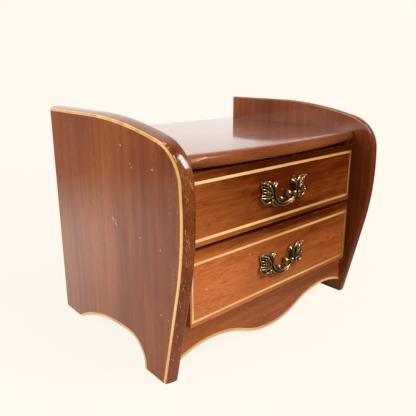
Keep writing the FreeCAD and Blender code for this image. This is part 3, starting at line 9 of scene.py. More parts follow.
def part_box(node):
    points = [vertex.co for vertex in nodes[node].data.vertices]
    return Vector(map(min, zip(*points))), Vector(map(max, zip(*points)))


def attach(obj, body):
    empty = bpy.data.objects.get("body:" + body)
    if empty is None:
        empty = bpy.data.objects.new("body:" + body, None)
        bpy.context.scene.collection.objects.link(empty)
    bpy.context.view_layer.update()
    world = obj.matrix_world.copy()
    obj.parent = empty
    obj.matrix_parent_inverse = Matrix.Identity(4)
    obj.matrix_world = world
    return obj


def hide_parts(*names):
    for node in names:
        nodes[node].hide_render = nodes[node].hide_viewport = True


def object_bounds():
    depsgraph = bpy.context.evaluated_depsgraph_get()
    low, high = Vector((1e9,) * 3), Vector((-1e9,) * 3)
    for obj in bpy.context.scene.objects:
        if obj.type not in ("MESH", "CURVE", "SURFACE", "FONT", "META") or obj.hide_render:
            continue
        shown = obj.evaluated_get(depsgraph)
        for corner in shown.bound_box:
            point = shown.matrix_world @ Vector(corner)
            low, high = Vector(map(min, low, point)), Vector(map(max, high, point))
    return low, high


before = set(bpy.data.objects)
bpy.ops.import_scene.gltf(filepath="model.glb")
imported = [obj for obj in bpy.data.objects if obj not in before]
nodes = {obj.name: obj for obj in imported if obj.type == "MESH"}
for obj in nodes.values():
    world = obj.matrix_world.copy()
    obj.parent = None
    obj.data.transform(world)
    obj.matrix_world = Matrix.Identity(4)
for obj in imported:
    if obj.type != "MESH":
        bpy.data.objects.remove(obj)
cad_low, cad_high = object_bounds()
# The places below are looked up on the CAD nodes where they stand in the world
bpy.context.view_layer.update()

# Lengths are metres; MM turns millimetres into them
MM = 0.001

# Places on the box

FRONT = Vector((0, -1, 0))
back_y = cad_high.y


def at_depth(depth):
    """Y of a place this far before the box's flat back."""
    return back_y - depth


def on_node(name, place):
    """The place on a node's surface that is nearest to a place."""
    found, spot, *_ = nodes[name].closest_point_on_mesh(Vector(place))
    return tuple(spot) if found else tuple(place)


def on_panel(depth, height, name="left_side_panel"):
    """Place on the left panel's outer face, or on another piece that is let into it, in millimetres."""
    return on_node(name, (cad_low.x, at_depth(depth * MM), height * MM))


def on_string(depth, height):
    """Place on the light line under the left panel's crowned edge, in millimetres."""
    return on_panel(depth, height, "left_edge_stringing")


def on_fronts(across, height, depth=170.3):
    """Place in millimetres, by default in the faces of the drawer fronts."""
    return (across * MM, at_depth(depth * MM), height * MM)


def on_edge(across, height):
    """Place on the left panel's front edge, where a ray from the front meets it."""
    start = Vector((across * MM, at_depth(1.0), height * MM))
    found, place, *_ = nodes["left_side_panel"].ray_cast(start, -FRONT)
    return tuple(place) if found else tuple(start)


def middle_height(name):
    low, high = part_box(name)
    return (low.z + high.z) / 2


# Objects and meshes

def add_object(name, data):
    thing = bpy.data.objects.new(name, data)
    bpy.context.scene.collection.objects.link(thing)
    return thing


def mesh_object(name, mesh):
    """Object with a bmesh that is finished."""
    data = bpy.data.meshes.new(name)
    mesh.to_mesh(data)
    mesh.free()
    return add_object(name, data)


def join_loops(mesh, loops):
    """Skin over loops with the same number of corners, closed at both ends."""
    for low, high in zip(loops, loops[1:]):
        for number in range(len(low)):
            other = (number + 1) % len(low)
            mesh.faces.new((low[number], low[other], high[other], high[number]))
    mesh.faces.new(list(reversed(loops[0])))
    mesh.faces.new(loops[-1])


def copy_of(name, new_name):
    """A free copy of a CAD node's mesh, at the node's place."""
    data = nodes[name].data.copy()
    data.name = new_name
    thing = add_object(new_name, data)
    thing.matrix_world = nodes[name].matrix_world.copy()
    return thing


def paint(thing, material):
    thing.data.materials.clear()
    thing.data.materials.append(material)


def smooth_faces(thing):
    thing.data.polygons.foreach_set("use_smooth", [True] * len(thing.data.polygons))


def bake(thing):
    """Applies every modifier."""
    graph = bpy.context.evaluated_depsgraph_get()
    result = bpy.data.meshes.new_from_object(thing.evaluated_get(graph))
    thing.modifiers.clear()
    old = thing.data
    thing.data = result
    bpy.data.meshes.remove(old)


def melt(thing, voxel, rounds, share):
    """Joins a mesh's overlapping shells into one smooth skin."""
    remesh = thing.modifiers.new("melt", "REMESH")
    remesh.mode = "VOXEL"
    remesh.voxel_size = voxel
    smooth = thing.modifiers.new("smooth", "SMOOTH")
    smooth.factor = share
    smooth.iterations = rounds
    bpy.context.view_layer.update()
    bake(thing)
    smooth_faces(thing)


# Shader graphs

class Graph:
    """The nodes of a new material or world, made and linked by short calls."""

    def __init__(self, holder, output="OutputMaterial"):
        holder.use_nodes = True
        self.holder = holder
        self.tree = holder.node_tree
        self.tree.nodes.clear()
        self.output = self.node(output)

    def node(self, kind, inputs=None, **settings):
        made = self.tree.nodes.new("ShaderNode" + kind)
        for key, value in settings.items():
            setattr(made, key, value)
        for key, value in (inputs or {}).items():
            self.feed(made.inputs[key], value)
        return made

    def feed(self, socket, value):
        if isinstance(value, bpy.types.NodeSocket):
            self.tree.links.new(value, socket)
        else:
            socket.default_value = value

    def math(self, operation, a, b=None, clamp=False):
        made = self.node("Math", {0: a}, operation=operation, use_clamp=clamp)
        if b is not None:
            self.feed(made.inputs[1], b)
        return made.outputs[0]

    def vector(self, operation, a, b=None, scale=None):
        """Vector maths; products and distances come out as numbers."""
        made = self.node("VectorMath", {0: a}, operation=operation)
        if b is not None:
            self.feed(made.inputs[1], b)
        if scale is not None:
            self.feed(made.inputs["Scale"], scale)
        return made.outputs["Value" if operation in ("DOT_PRODUCT", "DISTANCE") else "Vector"]

    def rescale(self, value, start, end, low=0.0, high=1.0, smooth=False):
        """Value that goes from low to high while the one put in goes from start to end."""
        inputs = {"Value": value, "From Min": start, "From Max": end, "To Min": low, "To Max": high}
        course = "SMOOTHSTEP" if smooth else "LINEAR"
        return self.node("MapRange", inputs, clamp=True, interpolation_type=course).outputs[0]

    def mix(self, factor, a, b, blend="MIX"):
        made = self.node("Mix", data_type="RGBA", blend_type=blend)
        self.feed(made.inputs[0], factor)
        self.feed(made.inputs[6], a)
        self.feed(made.inputs[7], b)
        return made.outputs[2]

    def ramp(self, value, stops):
        """Colour ramp; a stop is a position and a colour or a grey."""
        made = self.node("ValToRGB", {0: value})
        elements = made.color_ramp.elements
        while len(elements) < len(stops):
            elements.new(0.5)
        for element, (position, colour) in zip(elements, stops):
            element.position = position
            if isinstance(colour, float):
                colour = (colour, colour, colour)
            element.color = tuple(colour[:3]) + (1.0,)
        return made.outputs[0]

    def noise(self, vector, scale, detail=3.0, roughness=0.5, distortion=0.0):
        made = self.node("TexNoise", {"Vector": vector, "Scale": scale, "Detail": detail,
                                      "Roughness": roughness, "Distortion": distortion})
        return made.outputs[0]

    def place(self):
        """The place in the frame that is shaded."""
        return self.node("TexCoord").outputs["Object"]

    def stretched(self, along, squeeze, shift=(0.0, 0.0, 0.0)):
        """The shaded place with the grain's axis squeezed, so that a texture runs along it."""
        scale = [1.0, 1.0, 1.0]
        scale["XYZ".index(along)] = squeeze
        return self.node("Mapping", {"Vector": self.place(), "Scale": scale, "Location": shift}).outputs[0]

    def along(self, axis, start, end, low, high):
        """Value that goes from low to high between two places on an axis of the frame."""
        return self.rescale(self.node("SeparateXYZ", {0: self.place()}).outputs[axis], start, end, low, high)

    def bump(self, height, distance, strength=1.0, normal=None):
        made = self.node("Bump", {"Height": height, "Distance": distance, "Strength": strength})
        if normal is not None:
            self.feed(made.inputs["Normal"], normal)
        return made.outputs[0]

    def soft_edge(self, radius, samples=4):
        return self.node("Bevel", {"Radius": radius}, samples=samples).outputs[0]

    def edge_mask(self, radius, low, high):
        """1 on arrises, 0 on flat ground: how far the bevelled normal leaves the true one."""
        true = self.node("NewGeometry").outputs["Normal"]
        return self.rescale(self.vector("DOT_PRODUCT", self.soft_edge(radius), true), high, low)

    def finish(self, **sockets):
        """The shader with these sockets, linked to the output."""
        shader = self.node("BsdfPrincipled")
        for key, value in sockets.items():
            self.feed(shader.inputs[key.replace("_", " ")], value)
        self.show(shader.outputs[0])
        return self.holder

    def show(self, surface):
        self.tree.links.new(surface, self.output.inputs[0])


def new_material(name):
    return Graph(bpy.data.materials.new(name))


# Wear and stains

# A mark shows fully within this share of its half width
MARK_CORE = 0.35
# The inlaid frames are this wide; wood stain has run over their edges, with this soft a border
STRING_WIDTH = 2.3 * MM
MARGIN_BLUR = 0.08 * MM


def scratch_mask(g, place, marks):
    """1 along each mark, a segment of the frame with a half width, and 0 elsewhere."""
    whole = None
    for start, end, width in marks:
        start, end = Vector(start), Vector(end)
        along = end - start
        reach = g.vector("SUBTRACT", place, start)
        share = g.vector("DOT_PRODUCT", reach, along / max(along.length_squared, 1e-12))
        share = g.node("Clamp", {"Value": share}).outputs[0]
        foot = g.vector("SCALE", along, scale=share)
        mask = g.rescale(g.vector("DISTANCE", reach, foot), width, width * MARK_CORE)
        whole = mask if whole is None else g.math("MAXIMUM", whole, mask)
    return whole


def wandering_place(g, distance):
    """The shaded place, moved about a little, so that straight marks look made by hand."""
    place = g.place()
    wander = g.node("TexNoise", {"Vector": place, "Scale": 420.0}).outputs["Color"]
    wander = g.vector("SUBTRACT", wander, (0.5, 0.5, 0.5))
    return g.vector("ADD", place, g.vector("SCALE", wander, scale=distance))


def rubbed_mask(g, grain, shift, ramps):
    """Fine scratches along the grain, in patches; the ramps say how far they show."""
    streaks = g.noise(g.stretched(grain, 0.22, shift), 1400.0, 4.0, 0.65, 0.6)
    patches = g.noise(g.stretched(grain, 0.5, shift), 70.0, 3.0, 0.6)
    rubs = g.math("MULTIPLY", g.ramp(streaks, [(0.46, 0.0), (0.70, 1.0)]),
                  g.ramp(patches, [(0.40, 0.1), (0.62, 1.0)]))
    for ramp in ramps:
        rubs = g.math("MULTIPLY", rubs, g.along(*ramp))
    return rubs


def frame_margin(g, name, upright, level):
    """1 beside the clean middle of a drawer front's inlaid frame; upright and level are its widths."""
    low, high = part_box(name)
    across = g.vector("ABSOLUTE", g.vector("SUBTRACT", g.place(), (low + high) / 2))
    middle_line = (high - low) / 2 - Vector((1, 1, 1)) * STRING_WIDTH / 2
    past_line = g.node("SeparateXYZ", {0: g.vector("SUBTRACT", across, middle_line)}).outputs
    on_upright = g.math("GREATER_THAN", past_line["X"], past_line["Z"])
    off_line = g.math("ABSOLUTE", g.math("MAXIMUM", past_line["X"], past_line["Z"]))
    past = g.math("SUBTRACT", off_line, g.rescale(on_upright, 0.0, 1.0, level / 2, upright / 2))
    return g.rescale(past, -MARGIN_BLUR, MARGIN_BLUR)


# Wood and inlay

MARGIN_STAIN = (0.33, 0.090, 0.020, 1.0)
GREEN_STAIN = (0.20, 0.24, 0.07, 1.0)
BROWN_STAIN = (0.10, 0.035, 0.010, 1.0)
GRIME = (0.36, 0.15, 0.04, 1.0)
# Cream of the painted highlight on the fronts' light frames
PAINTED_HIGHLIGHT_CREAM = (0.98, 0.74, 0.43, 1.0)
OAK_DARK = (0.34, 0.19, 0.09)
OAK_LIGHT = (0.60, 0.40, 0.21)
BOXWOOD_STOPS = [(0.32, (0.54, 0.27, 0.070)), (0.5, (0.72, 0.39, 0.11)), (0.7, (0.85, 0.51, 0.18))]
# Bare wood that shows where the lacquer is speckled, chipped at an arris, rubbed or scratched
SPECKLED_WOOD = (0.72, 0.50, 0.33, 1.0)
CHIPPED_WOOD = (0.60, 0.33, 0.16, 1.0)
RUBBED_WOOD = (0.42, 0.165, 0.055, 1.0)
SCRATCHED_WOOD = (0.78, 0.52, 0.33, 1.0)


def wood_tone(g, grain, shift, figure, contrast, drift):
    """How light the veneer is: broad patches, bands along the grain and a wavy figure."""
    broad = g.noise(g.stretched(grain, 0.22, shift), 17.0, 2.0, 0.5, 0.5)
    bands = g.noise(g.stretched(grain, 0.045, shift), 150.0, 4.0, 0.62, 0.3)
    waves = g.noise(g.stretched(grain, 0.35, shift), 75.0, 3.0, 0.55, 1.6)
    tone = g.math("MULTIPLY", broad, 0.42)
    tone = g.math("ADD", tone, g.math("MULTIPLY", bands, 0.38))
    tone = g.math("ADD", tone, g.math("MULTIPLY", waves, 0.20 * figure))
    tone = g.math("ADD", tone, 0.10 * (1.0 - figure))
    tone = g.math("ADD", g.math("MULTIPLY", tone, contrast), 0.5 * (1.0 - contrast))
    # The drift ramps shift the tone; for the fronts and side panels they are painted light and shade
    for ramp in drift:
        tone = g.math("ADD", tone, g.along(*ramp))
    return tone


def pore_mask(g, grain, shift):
    """1 in the short pores along the grain, which crowd together in places."""
    dashes = g.noise(g.stretched(grain, 0.09, shift), 1700.0, 2.0, 0.45, 0.2)
    crowds = g.noise(g.stretched(grain, 0.5, shift), 60.0, 2.0, 0.5)
    return g.math("MULTIPLY", g.ramp(dashes, [(0.34, 1.0), (0.42, 0.0)]),
                  g.ramp(crowds, [(0.38, 0.2), (0.62, 1.0)]))


def lacquered_wood(name, grain, tones, shift=(0.0, 0.0, 0.0), wear=0.6, figure=0.5, marks=(), drift=(),
                   contrast=1.0, dull=None, gloss=0.10, ripple=0.16, rubbed=()):
    """Figured mahogany under clear lacquer; the grain runs along an axis of the frame.

    A ramp is (axis, start, end, value at the start, value at the end). drift lists ramps of tone,
    painted light and shade among them; dull is one that is added to the lacquer's roughness, which is
    gloss elsewhere; ripple is its orange peel; rubbed lists ramps of how far fine scratches show.
    """
    dark, middle, light = tones
    deep = tuple(0.35 * c for c in dark)
    g = new_material(name)
    tone = wood_tone(g, grain, shift, figure, contrast, drift)
    colour = g.ramp(tone, [(0.22, deep), (0.36, dark), (0.50, middle), (0.64, light)])
    fibres = g.noise(g.stretched(grain, 0.025, shift), 1400.0, 3.0, 0.65)
    colour = g.mix(0.55, colour, g.ramp(fibres, [(0.30, 0.70), (0.55, 1.0), (0.80, 1.15)]), "MULTIPLY")
    pore = pore_mask(g, grain, shift)
    colour = g.mix(g.math("MULTIPLY", pore, 0.55), colour, deep + (1.0,))
    specks = g.noise(g.stretched(grain, 0.8, shift), 300.0, 1.0, 0.5)
    speck = g.math("MULTIPLY", g.ramp(specks, [(0.80, 0.0), (0.815, 1.0)]), 0.6 * wear)
    colour = g.mix(speck, colour, SPECKLED_WOOD)
    chips = g.noise(g.stretched(grain, 0.5, shift), 520.0, 4.0, 0.65)
    arris = g.edge_mask(1.3 * MM, 0.80, 0.975)
    worn = g.math("MULTIPLY", arris, g.ramp(chips, [(0.50, 0.0), (0.60, 1.0)]))
    worn = g.math("MULTIPLY", worn, wear, clamp=True)
    colour = g.mix(g.math("MULTIPLY", worn, 0.7), colour, CHIPPED_WOOD)
    roughness = g.math("ADD", 0.42, g.math("MULTIPLY", worn, 0.3))
    if rubbed:
        colour = g.mix(rubbed_mask(g, grain, shift, rubbed), colour, RUBBED_WOOD)
    if marks:
        scratch = scratch_mask(g, wandering_place(g, 1.6 * MM), marks)
        colour = g.mix(g.math("MULTIPLY", scratch, 0.6), colour, SCRATCHED_WOOD)
        pore = g.math("MAXIMUM", pore, scratch)
    relief = g.math("ADD", g.math("MULTIPLY", pore, -0.7), g.math("MULTIPLY", fibres, 0.35))
    normal = g.bump(relief, 0.05 * MM, 0.4, g.soft_edge(0.5 * MM))
    swell = g.noise(g.stretched(grain, 0.7, shift), 130.0, 3.0, 0.55)
    coat_normal = g.bump(swell, 0.18 * MM, ripple, normal)
    haze = gloss if dull is None else g.math("ADD", gloss, g.along(*dull))
    return g.finish(Base_Color=colour, Roughness=roughness, Normal=normal, Specular_IOR_Level=0.02,
                    Coat_Weight=0.9, Coat_Roughness=haze, Coat_Normal=coat_normal)


def plain_wood(name, grain):
    """Sawn and sanded oak without a finish."""
    g = new_material(name)
    bands = g.noise(g.stretched(grain, 0.05), 150.0, 4.0, 0.6, 0.4)
    fibres = g.noise(g.stretched(grain, 0.02), 1500.0, 3.0, 0.6)
    colour = g.ramp(bands, [(0.36, OAK_DARK), (0.62, OAK_LIGHT)])
    colour = g.mix(0.6, colour, g.ramp(fibres, [(0.3, 0.75), (0.7, 1.1)]), "MULTIPLY")
    normal = g.bump(fibres, 0.08 * MM, 0.5, g.soft_edge(0.4 * MM))
    return g.finish(Base_Color=colour, Roughness=0.62, Normal=normal)


def inlay(name, grain, marks, stain, painted_shade=(), painted_highlight=None, margin=None):
    """Pale boxwood line, a little grimy, with marks that are stained.

    fades lists ramps of painted shade that darken it and bleach is a ramp of its painted highlight; margin
    names a drawer front's frame and the widths of its clean middle, for its upright and level lines.
    """
    g = new_material(name)
    colour = g.ramp(g.noise(g.stretched(grain, 0.15), 70.0, 3.0, 0.6), BOXWOOD_STOPS)
    place = g.place()
    grime = g.noise(place, 240.0, 4.0, 0.6)
    colour = g.mix(g.ramp(grime, [(0.60, 0.0), (0.78, 0.55)]), colour, GRIME)
    if painted_highlight is not None:
        # Painted highlight: cream laid over the line where the ramp says
        colour = g.mix(g.along(*painted_highlight), colour, PAINTED_HIGHLIGHT_CREAM)
    if margin is not None:
        colour = g.mix(g.math("MULTIPLY", frame_margin(g, *margin), 0.9), colour, MARGIN_STAIN)
    # Painted shade: these ramps darken the line
    for fade in painted_shade:
        colour = g.mix(1.0, colour, g.along(*fade), "MULTIPLY")
    colour = g.mix(g.math("MULTIPLY", scratch_mask(g, place, marks), 0.8), colour, stain)
    fibres = g.noise(g.stretched(grain, 0.03), 1800.0, 2.0, 0.5)
    return g.finish(Base_Color=colour, Roughness=0.40, Normal=g.bump(fibres, 0.03 * MM, 0.4),
                    Specular_IOR_Level=0.2, Coat_Weight=0.8, Coat_Roughness=0.14)


# Metal and velvet

BRASS_STOPS = [(0.14, (0.012, 0.006, 0.003)), (0.38, (0.170, 0.090, 0.034)), (0.60, (0.60, 0.37, 0.16)),
               (0.85, (1.0, 0.80, 0.54))]
VELVET_STOPS = [(0.35, (0.085, 0.004, 0.012)), (0.55, (0.16, 0.008, 0.022)), (0.75, (0.24, 0.018, 0.036))]


def antique_brass():
    """Cast brass, dark in the hollows and rubbed bright on the ridges."""
    g = new_material("antique_brass")
    ridge = g.ramp(g.node("NewGeometry").outputs["Pointiness"], [(0.47, 0.0), (0.52, 0.5), (0.58, 1.0)])
    open_share = g.node("AmbientOcclusion", {"Distance": 2.2 * MM}, samples=8).outputs["AO"]
    hollow = g.ramp(open_share, [(0.50, 0.0), (0.90, 1.0)])
    place = g.place()
    patches = g.noise(place, 520.0, 4.0, 0.6)
    grain = g.noise(place, 3800.0, 2.0, 0.5)
    shine = g.math("ADD", g.math("MULTIPLY", ridge, 0.85), g.math("MULTIPLY", patches, 0.38))
    shine = g.math("MULTIPLY", shine, hollow, clamp=True)
    roughness = g.ramp(shine, [(0.1, 0.60), (0.6, 0.34), (0.9, 0.22)])
    relief = g.math("ADD", g.math("MULTIPLY", grain, 0.5), patches)
    return g.finish(Base_Color=g.ramp(shine, BRASS_STOPS), Metallic=1.0, Roughness=roughness,
                    Normal=g.bump(relief, 0.10 * MM, 0.5))


def machined(name, light, dark, roughness):
    """Turned or rolled metal with fine tool marks and a little tarnish."""
    g = new_material(name)
    tool_marks = g.noise(g.stretched("Z", 14.0), 260.0, 3.0, 0.6)
    tarnish = g.noise(g.place(), 140.0, 4.0, 0.6)
    colour = g.mix(g.ramp(tarnish, [(0.4, 0.0), (0.72, 1.0)]), light, dark)
    rough = g.math("ADD", roughness, g.math("MULTIPLY", tarnish, 0.16))
    normal = g.bump(tool_marks, 0.02 * MM, 0.5, g.soft_edge(0.12 * MM))
    return g.finish(Base_Color=colour, Metallic=1.0, Roughness=rough, Normal=normal)


def velvet():
    """Short-pile velvet: brushed patches, a fine pile and a sheen at grazing angles."""
    g = new_material("velvet")
    place = g.place()
    brushed = g.noise(place, 55.0, 3.0, 0.55, 0.6)
    pile = g.noise(place, 4200.0, 2.0, 0.6)
    colour = g.mix(0.6, g.ramp(brushed, VELVET_STOPS), g.ramp(pile, [(0.25, 0.55), (0.75, 1.2)]), "MULTIPLY")
    relief = g.math("ADD", pile, g.math("MULTIPLY", brushed, 0.8))
    return g.finish(Base_Color=colour, Roughness=0.92, Normal=g.bump(relief, 0.25 * MM, 0.6),
                    Sheen_Weight=0.8, Sheen_Roughness=0.35, Sheen_Tint=(0.95, 0.45, 0.50, 1.0),
                    Specular_IOR_Level=0.15)


# This box's tones, with the light and shade that are painted into them, and what has been rubbed where

# Dark, middle and light tone of each mahogany
PANEL_TONES = ((0.140, 0.028, 0.005), (0.235, 0.057, 0.011), (0.330, 0.094, 0.022))
TOP_TONES = ((0.110, 0.024, 0.005), (0.200, 0.049, 0.010), (0.300, 0.086, 0.020))
FRONT_TONES = ((0.100, 0.013, 0.0003), (0.310, 0.078, 0.014), (0.530, 0.148, 0.034))

# Ramps along the frame's axes: axis, start, end, value at the start, value at the end.
# Painted light and shade in the fronts' veneer: painted lighter towards the left and the bottom, a little
# darker towards the right, a painted shadow under the top's front edge, and another in the lower one's top
# margin under the upper front
FRONT_PAINTED_LIGHT_AND_SHADE = (("X", -0.105, 0.0, 0.18, 0.0), ("Z", 0.060, 0.140, 0.06, -0.15), ("X", 0.0, 0.1, 0.0, -0.02),
               ("Z", 0.148, 0.160, 0.0, -0.12), ("Z", 0.0950, 0.0985, 0.0, -0.13),
               ("Z", 0.1019, 0.1040, 0.0, 0.13))
APRON_DRIFT = (("X", -0.12, 0.12, -0.02, -0.03),)
# The top is lighter at the left, its rounded front edge is dull, and the side panels' edges are painted
# darker, a painted shade
TOP_DULL = ("Y", at_depth(0.150), at_depth(0.166), 0.0, 0.12)
TOP_DRIFT = (("X", -0.105, 0.105, 0.09, -0.12),)
PANEL_EDGE_PAINTED_SHADE = (("Y", at_depth(0.176), at_depth(0.160), -0.09, 0.0),
               ("Y", at_depth(0.150), at_depth(0.090), -0.03, 0.0))
# The left panel's front edge is full of fine scratches
PANEL_RUBS = (("Y", at_depth(0.182), at_depth(0.166), 0.85, 0.0), ("X", -0.109, -0.106, 1.0, 0.12))
# The light frames on the fronts get a painted highlight at the left and painted shade at the right
FRONT_FRAME_PAINTED_SHADE = (("X", -0.02, 0.092, 1.0, 0.68), ("X", 0.093, 0.097, 1.0, 0.55))
UPPER_PAINTED_HIGHLIGHT = ("X", -0.105, 0.02, 0.55, 0.0)
LOWER_PAINTED_HIGHLIGHT = ("X", -0.105, 0.0, 0.30, 0.0)
# Their clean middle's width, for the upright lines and the level ones
UPPER_MARGIN = ("upper_drawer_stringing", 1.4 * MM, STRING_WIDTH)
LOWER_MARGIN = ("lower_drawer_stringing", 1.4 * MM, 1.9 * MM)

# Scratches on the left panel's front edge, in millimetres: across and height of both ends, half width
EDGE_SCRATCHES = [
    (-118.0, 128, -116.4, 119, 0.21), (-115.6, 121, -114.2, 113, 0.21), (-117.0, 109, -115.9, 101, 0.19),
    (-119.2, 93, -116.6, 84, 0.24), (-117.8, 88, -114.6, 80, 0.21), (-115.6, 91, -117.8, 83, 0.18),
    (-113.2, 87, -112.0, 79, 0.18), (-118.4, 76, -117.0, 69, 0.21), (-114.4, 72, -113.6, 64, 0.18),
    (-119.0, 58, -117.4, 53, 0.22), (-116.8, 47, -115.8, 43, 0.24), (-113.6, 34, -113.0, 30, 0.22),
    (-117.4, 151, -115.4, 147, 0.21), (-113.4, 160, -112.0, 155, 0.18), (-118.6, 24, -116.2, 22.5, 0.26),
]
edge_marks = [(on_edge(x, z), on_edge(far_x, far_z), width * MM)
              for x, z, far_x, far_z, width in EDGE_SCRATCHES]
# Other damage: start, end, half width. A splinter and a green stain are on the light lines.
SPLINTER = [
    (on_string(168.2, 182.6), on_string(171.6, 180.8), 0.70 * MM),
    (on_string(172.6, 180.4), on_string(176.4, 177.6), 0.45 * MM),
    (on_string(177.0, 177.2), on_string(180.8, 173.2), 0.45 * MM),
]
VERDIGRIS = [
    (on_fronts(72.4, 48.2), on_fronts(75.2, 48.3), 0.9 * MM),
    (on_fronts(66.4, 48.2), on_fronts(67.2, 48.3), 0.5 * MM),
]
PANEL_MARKS = [
    (on_panel(167.4, 184.2), on_panel(170.2, 184.4), 0.8 * MM),
    (on_panel(169.6, 183.8), on_panel(170.6, 186.0), 0.7 * MM),
    (on_panel(173.4, 182.2), on_panel(174.6, 183.0), 0.5 * MM),
    (on_panel(179.4, 177.4), on_panel(182.6, 173.8), 0.5 * MM),
    (on_panel(99.0, 116.1), on_panel(102.6, 114.6), 0.45 * MM),
    (on_panel(102.6, 114.6), on_panel(104.9, 110.6), 0.65 * MM),
    (on_panel(98.6, 114.5), on_panel(99.4, 112.5), 0.40 * MM),
    (on_panel(115.6, 174.8), on_panel(116.4, 174.2), 0.75 * MM),
    (on_panel(154.3, 162.7), on_panel(155.6, 162.4), 0.65 * MM),
    (on_panel(127.4, 163.2), on_panel(127.6, 162.6), 0.50 * MM),
    (on_panel(129.2, 160.6), on_panel(129.6, 160.0), 0.65 * MM),
    (on_panel(136.9, 110.0), on_panel(137.2, 109.2), 0.55 * MM),
    (on_panel(161.4, 107.4), on_panel(161.6, 106.8), 0.55 * MM),
    (on_panel(160.4, 57.0), on_panel(160.6, 56.6), 0.75 * MM),
    (on_panel(169.1, 56.2), on_panel(169.2, 55.8), 0.60 * MM),
    (on_panel(67.8, 122.8), on_panel(68.2, 122.0), 0.50 * MM),
]
FRONT_MARKS = [
    (on_fronts(-85.4, 69.3), on_fronts(-84.9, 69.1), 0.75 * MM),
    (on_fronts(-40.0, 84.5), on_fronts(-38.5, 84.8), 0.40 * MM),
]
TOP_MARKS = [
    (on_fronts(-82.7, 168.4, 174.3), on_fronts(-78.6, 169.9, 174.0), 0.55 * MM),
    (on_fronts(-80.5, 168.6, 174.3), on_fronts(-75.6, 169.9, 174.0), 0.45 * MM),
    (on_fronts(-78.0, 168.2, 174.3), on_fronts(-72.5, 168.9, 174.2), 0.40 * MM),
    (on_fronts(-31.0, 170.4, 173.0), on_fronts(-30.2, 170.4, 173.0), 0.45 * MM),
]

panel_wood = lacquered_wood("panel_mahogany", "Z", PANEL_TONES, (0.3, 0.1, 0.7),
                            marks=PANEL_MARKS + edge_marks, drift=PANEL_EDGE_PAINTED_SHADE, gloss=0.12, ripple=0.05,
                            rubbed=PANEL_RUBS)
top_wood = lacquered_wood("top_mahogany", "X", TOP_TONES, (0.9, 0.4, 0.2), marks=TOP_MARKS,
                          drift=TOP_DRIFT, dull=TOP_DULL, gloss=0.05, ripple=0.08)
apron_wood = lacquered_wood("apron_mahogany", "X", FRONT_TONES, (0.2, 0.8, 0.5), figure=0.6, contrast=0.6,
                            drift=APRON_DRIFT)
front_wood = lacquered_wood("front_mahogany", "X", FRONT_TONES, (0.6, 0.3, 0.4), wear=0.4, figure=1.0,
                            marks=FRONT_MARKS, drift=FRONT_PAINTED_LIGHT_AND_SHADE, contrast=0.6)
carcass_wood = lacquered_wood("carcass_wood", "Z", PANEL_TONES, (0.1, 0.6, 0.3), wear=0.3)
drawer_wood_x = plain_wood("drawer_wood_across", "X")
drawer_wood_y = plain_wood("drawer_wood_along", "Y")
inlay_x = inlay("inlay_across", "X", VERDIGRIS, GREEN_STAIN)
inlay_upper = inlay("inlay_upper_front", "X", VERDIGRIS, GREEN_STAIN, FRONT_FRAME_PAINTED_SHADE, UPPER_PAINTED_HIGHLIGHT, UPPER_MARGIN)
inlay_lower = inlay("inlay_lower_front", "X", VERDIGRIS, GREEN_STAIN, FRONT_FRAME_PAINTED_SHADE, LOWER_PAINTED_HIGHLIGHT, LOWER_MARGIN)
inlay_z = inlay("inlay_upright", "Z", SPLINTER, BROWN_STAIN)
brass_cast = antique_brass()
brass_yellow = machined("movement_brass", (0.80, 0.60, 0.26, 1.0), (0.46, 0.30, 0.12, 1.0), 0.26)
steel = machined("steel", (0.62, 0.62, 0.62, 1.0), (0.34, 0.33, 0.32, 1.0), 0.28)
velvet_cloth = velvet()

FINISHES = {
    panel_wood: ("left_side_panel", "right_side_panel"),
    top_wood: ("top_board",),
    apron_wood: ("apron",),
    front_wood: ("upper_drawer_front", "lower_drawer_front"),
    carcass_wood: ("left_inner_side", "right_inner_side", "drawer_divider", "floor_board", "back_board"),
    inlay_z: ("left_edge_stringing", "right_edge_stringing", "left_arch_stringing", "right_arch_stringing"),
    inlay_x: ("apron_stringing",),
    inlay_upper: ("upper_drawer_stringing",),
    inlay_lower: ("lower_drawer_stringing",),
    drawer_wood_x: ("drawer_stops", "movement_partition", "upper_drawer_back", "upper_drawer_bottom",
                    "lower_drawer_back", "lower_drawer_bottom"),
    drawer_wood_y: ("glue_blocks", "upper_drawer_left_side", "upper_drawer_right_side",
                    "lower_drawer_left_side", "lower_drawer_right_side"),
    brass_cast: ("upper_pull", "lower_pull"),
    velvet_cloth: ("upper_lining", "lower_lining", "ring_rolls"),
    brass_yellow: ("movement_bedplate", "left_bearing", "right_bearing", "comb_base", "governor_frame",
                   "plunger_guide", "spring_barrel", "crown_wheel", "tune_cylinder", "cylinder_wheel",
                   "worm_wheel", "governor_fan"),
    steel: ("back_screws", "movement_screws", "comb", "comb_screws", "mainspring", "winding_arbor",
            "winding_key", "cylinder_arbor", "tune_pins", "governor_pinion", "governor_worm", "stop_plunger",
            "upper_pull_screws", "lower_pull_screws"),
}

for material, names in FINISHES.items():
    for name in names:
        paint(nodes[name], material)


# Cast pulls, drawn as tapered strokes of metal and melted together

PULL_VOXEL = 0.24 * MM
# The metal keeps this far off the wood
PULL_GAP = 0.02 * MM
THINNEST = 0.05 * MM
# How deep each kind of stroke is, as a share of its width
BAND_DEPTH = 0.9
CORE_DEPTH = 0.75
WEB_DEPTH = 0.42
# Sine and cosine round a stroke's domed end
DOME = [(math.sin(math.radians(d)), math.cos(math.radians(d))) for d in (15, 40, 65)]
AROUND = 12

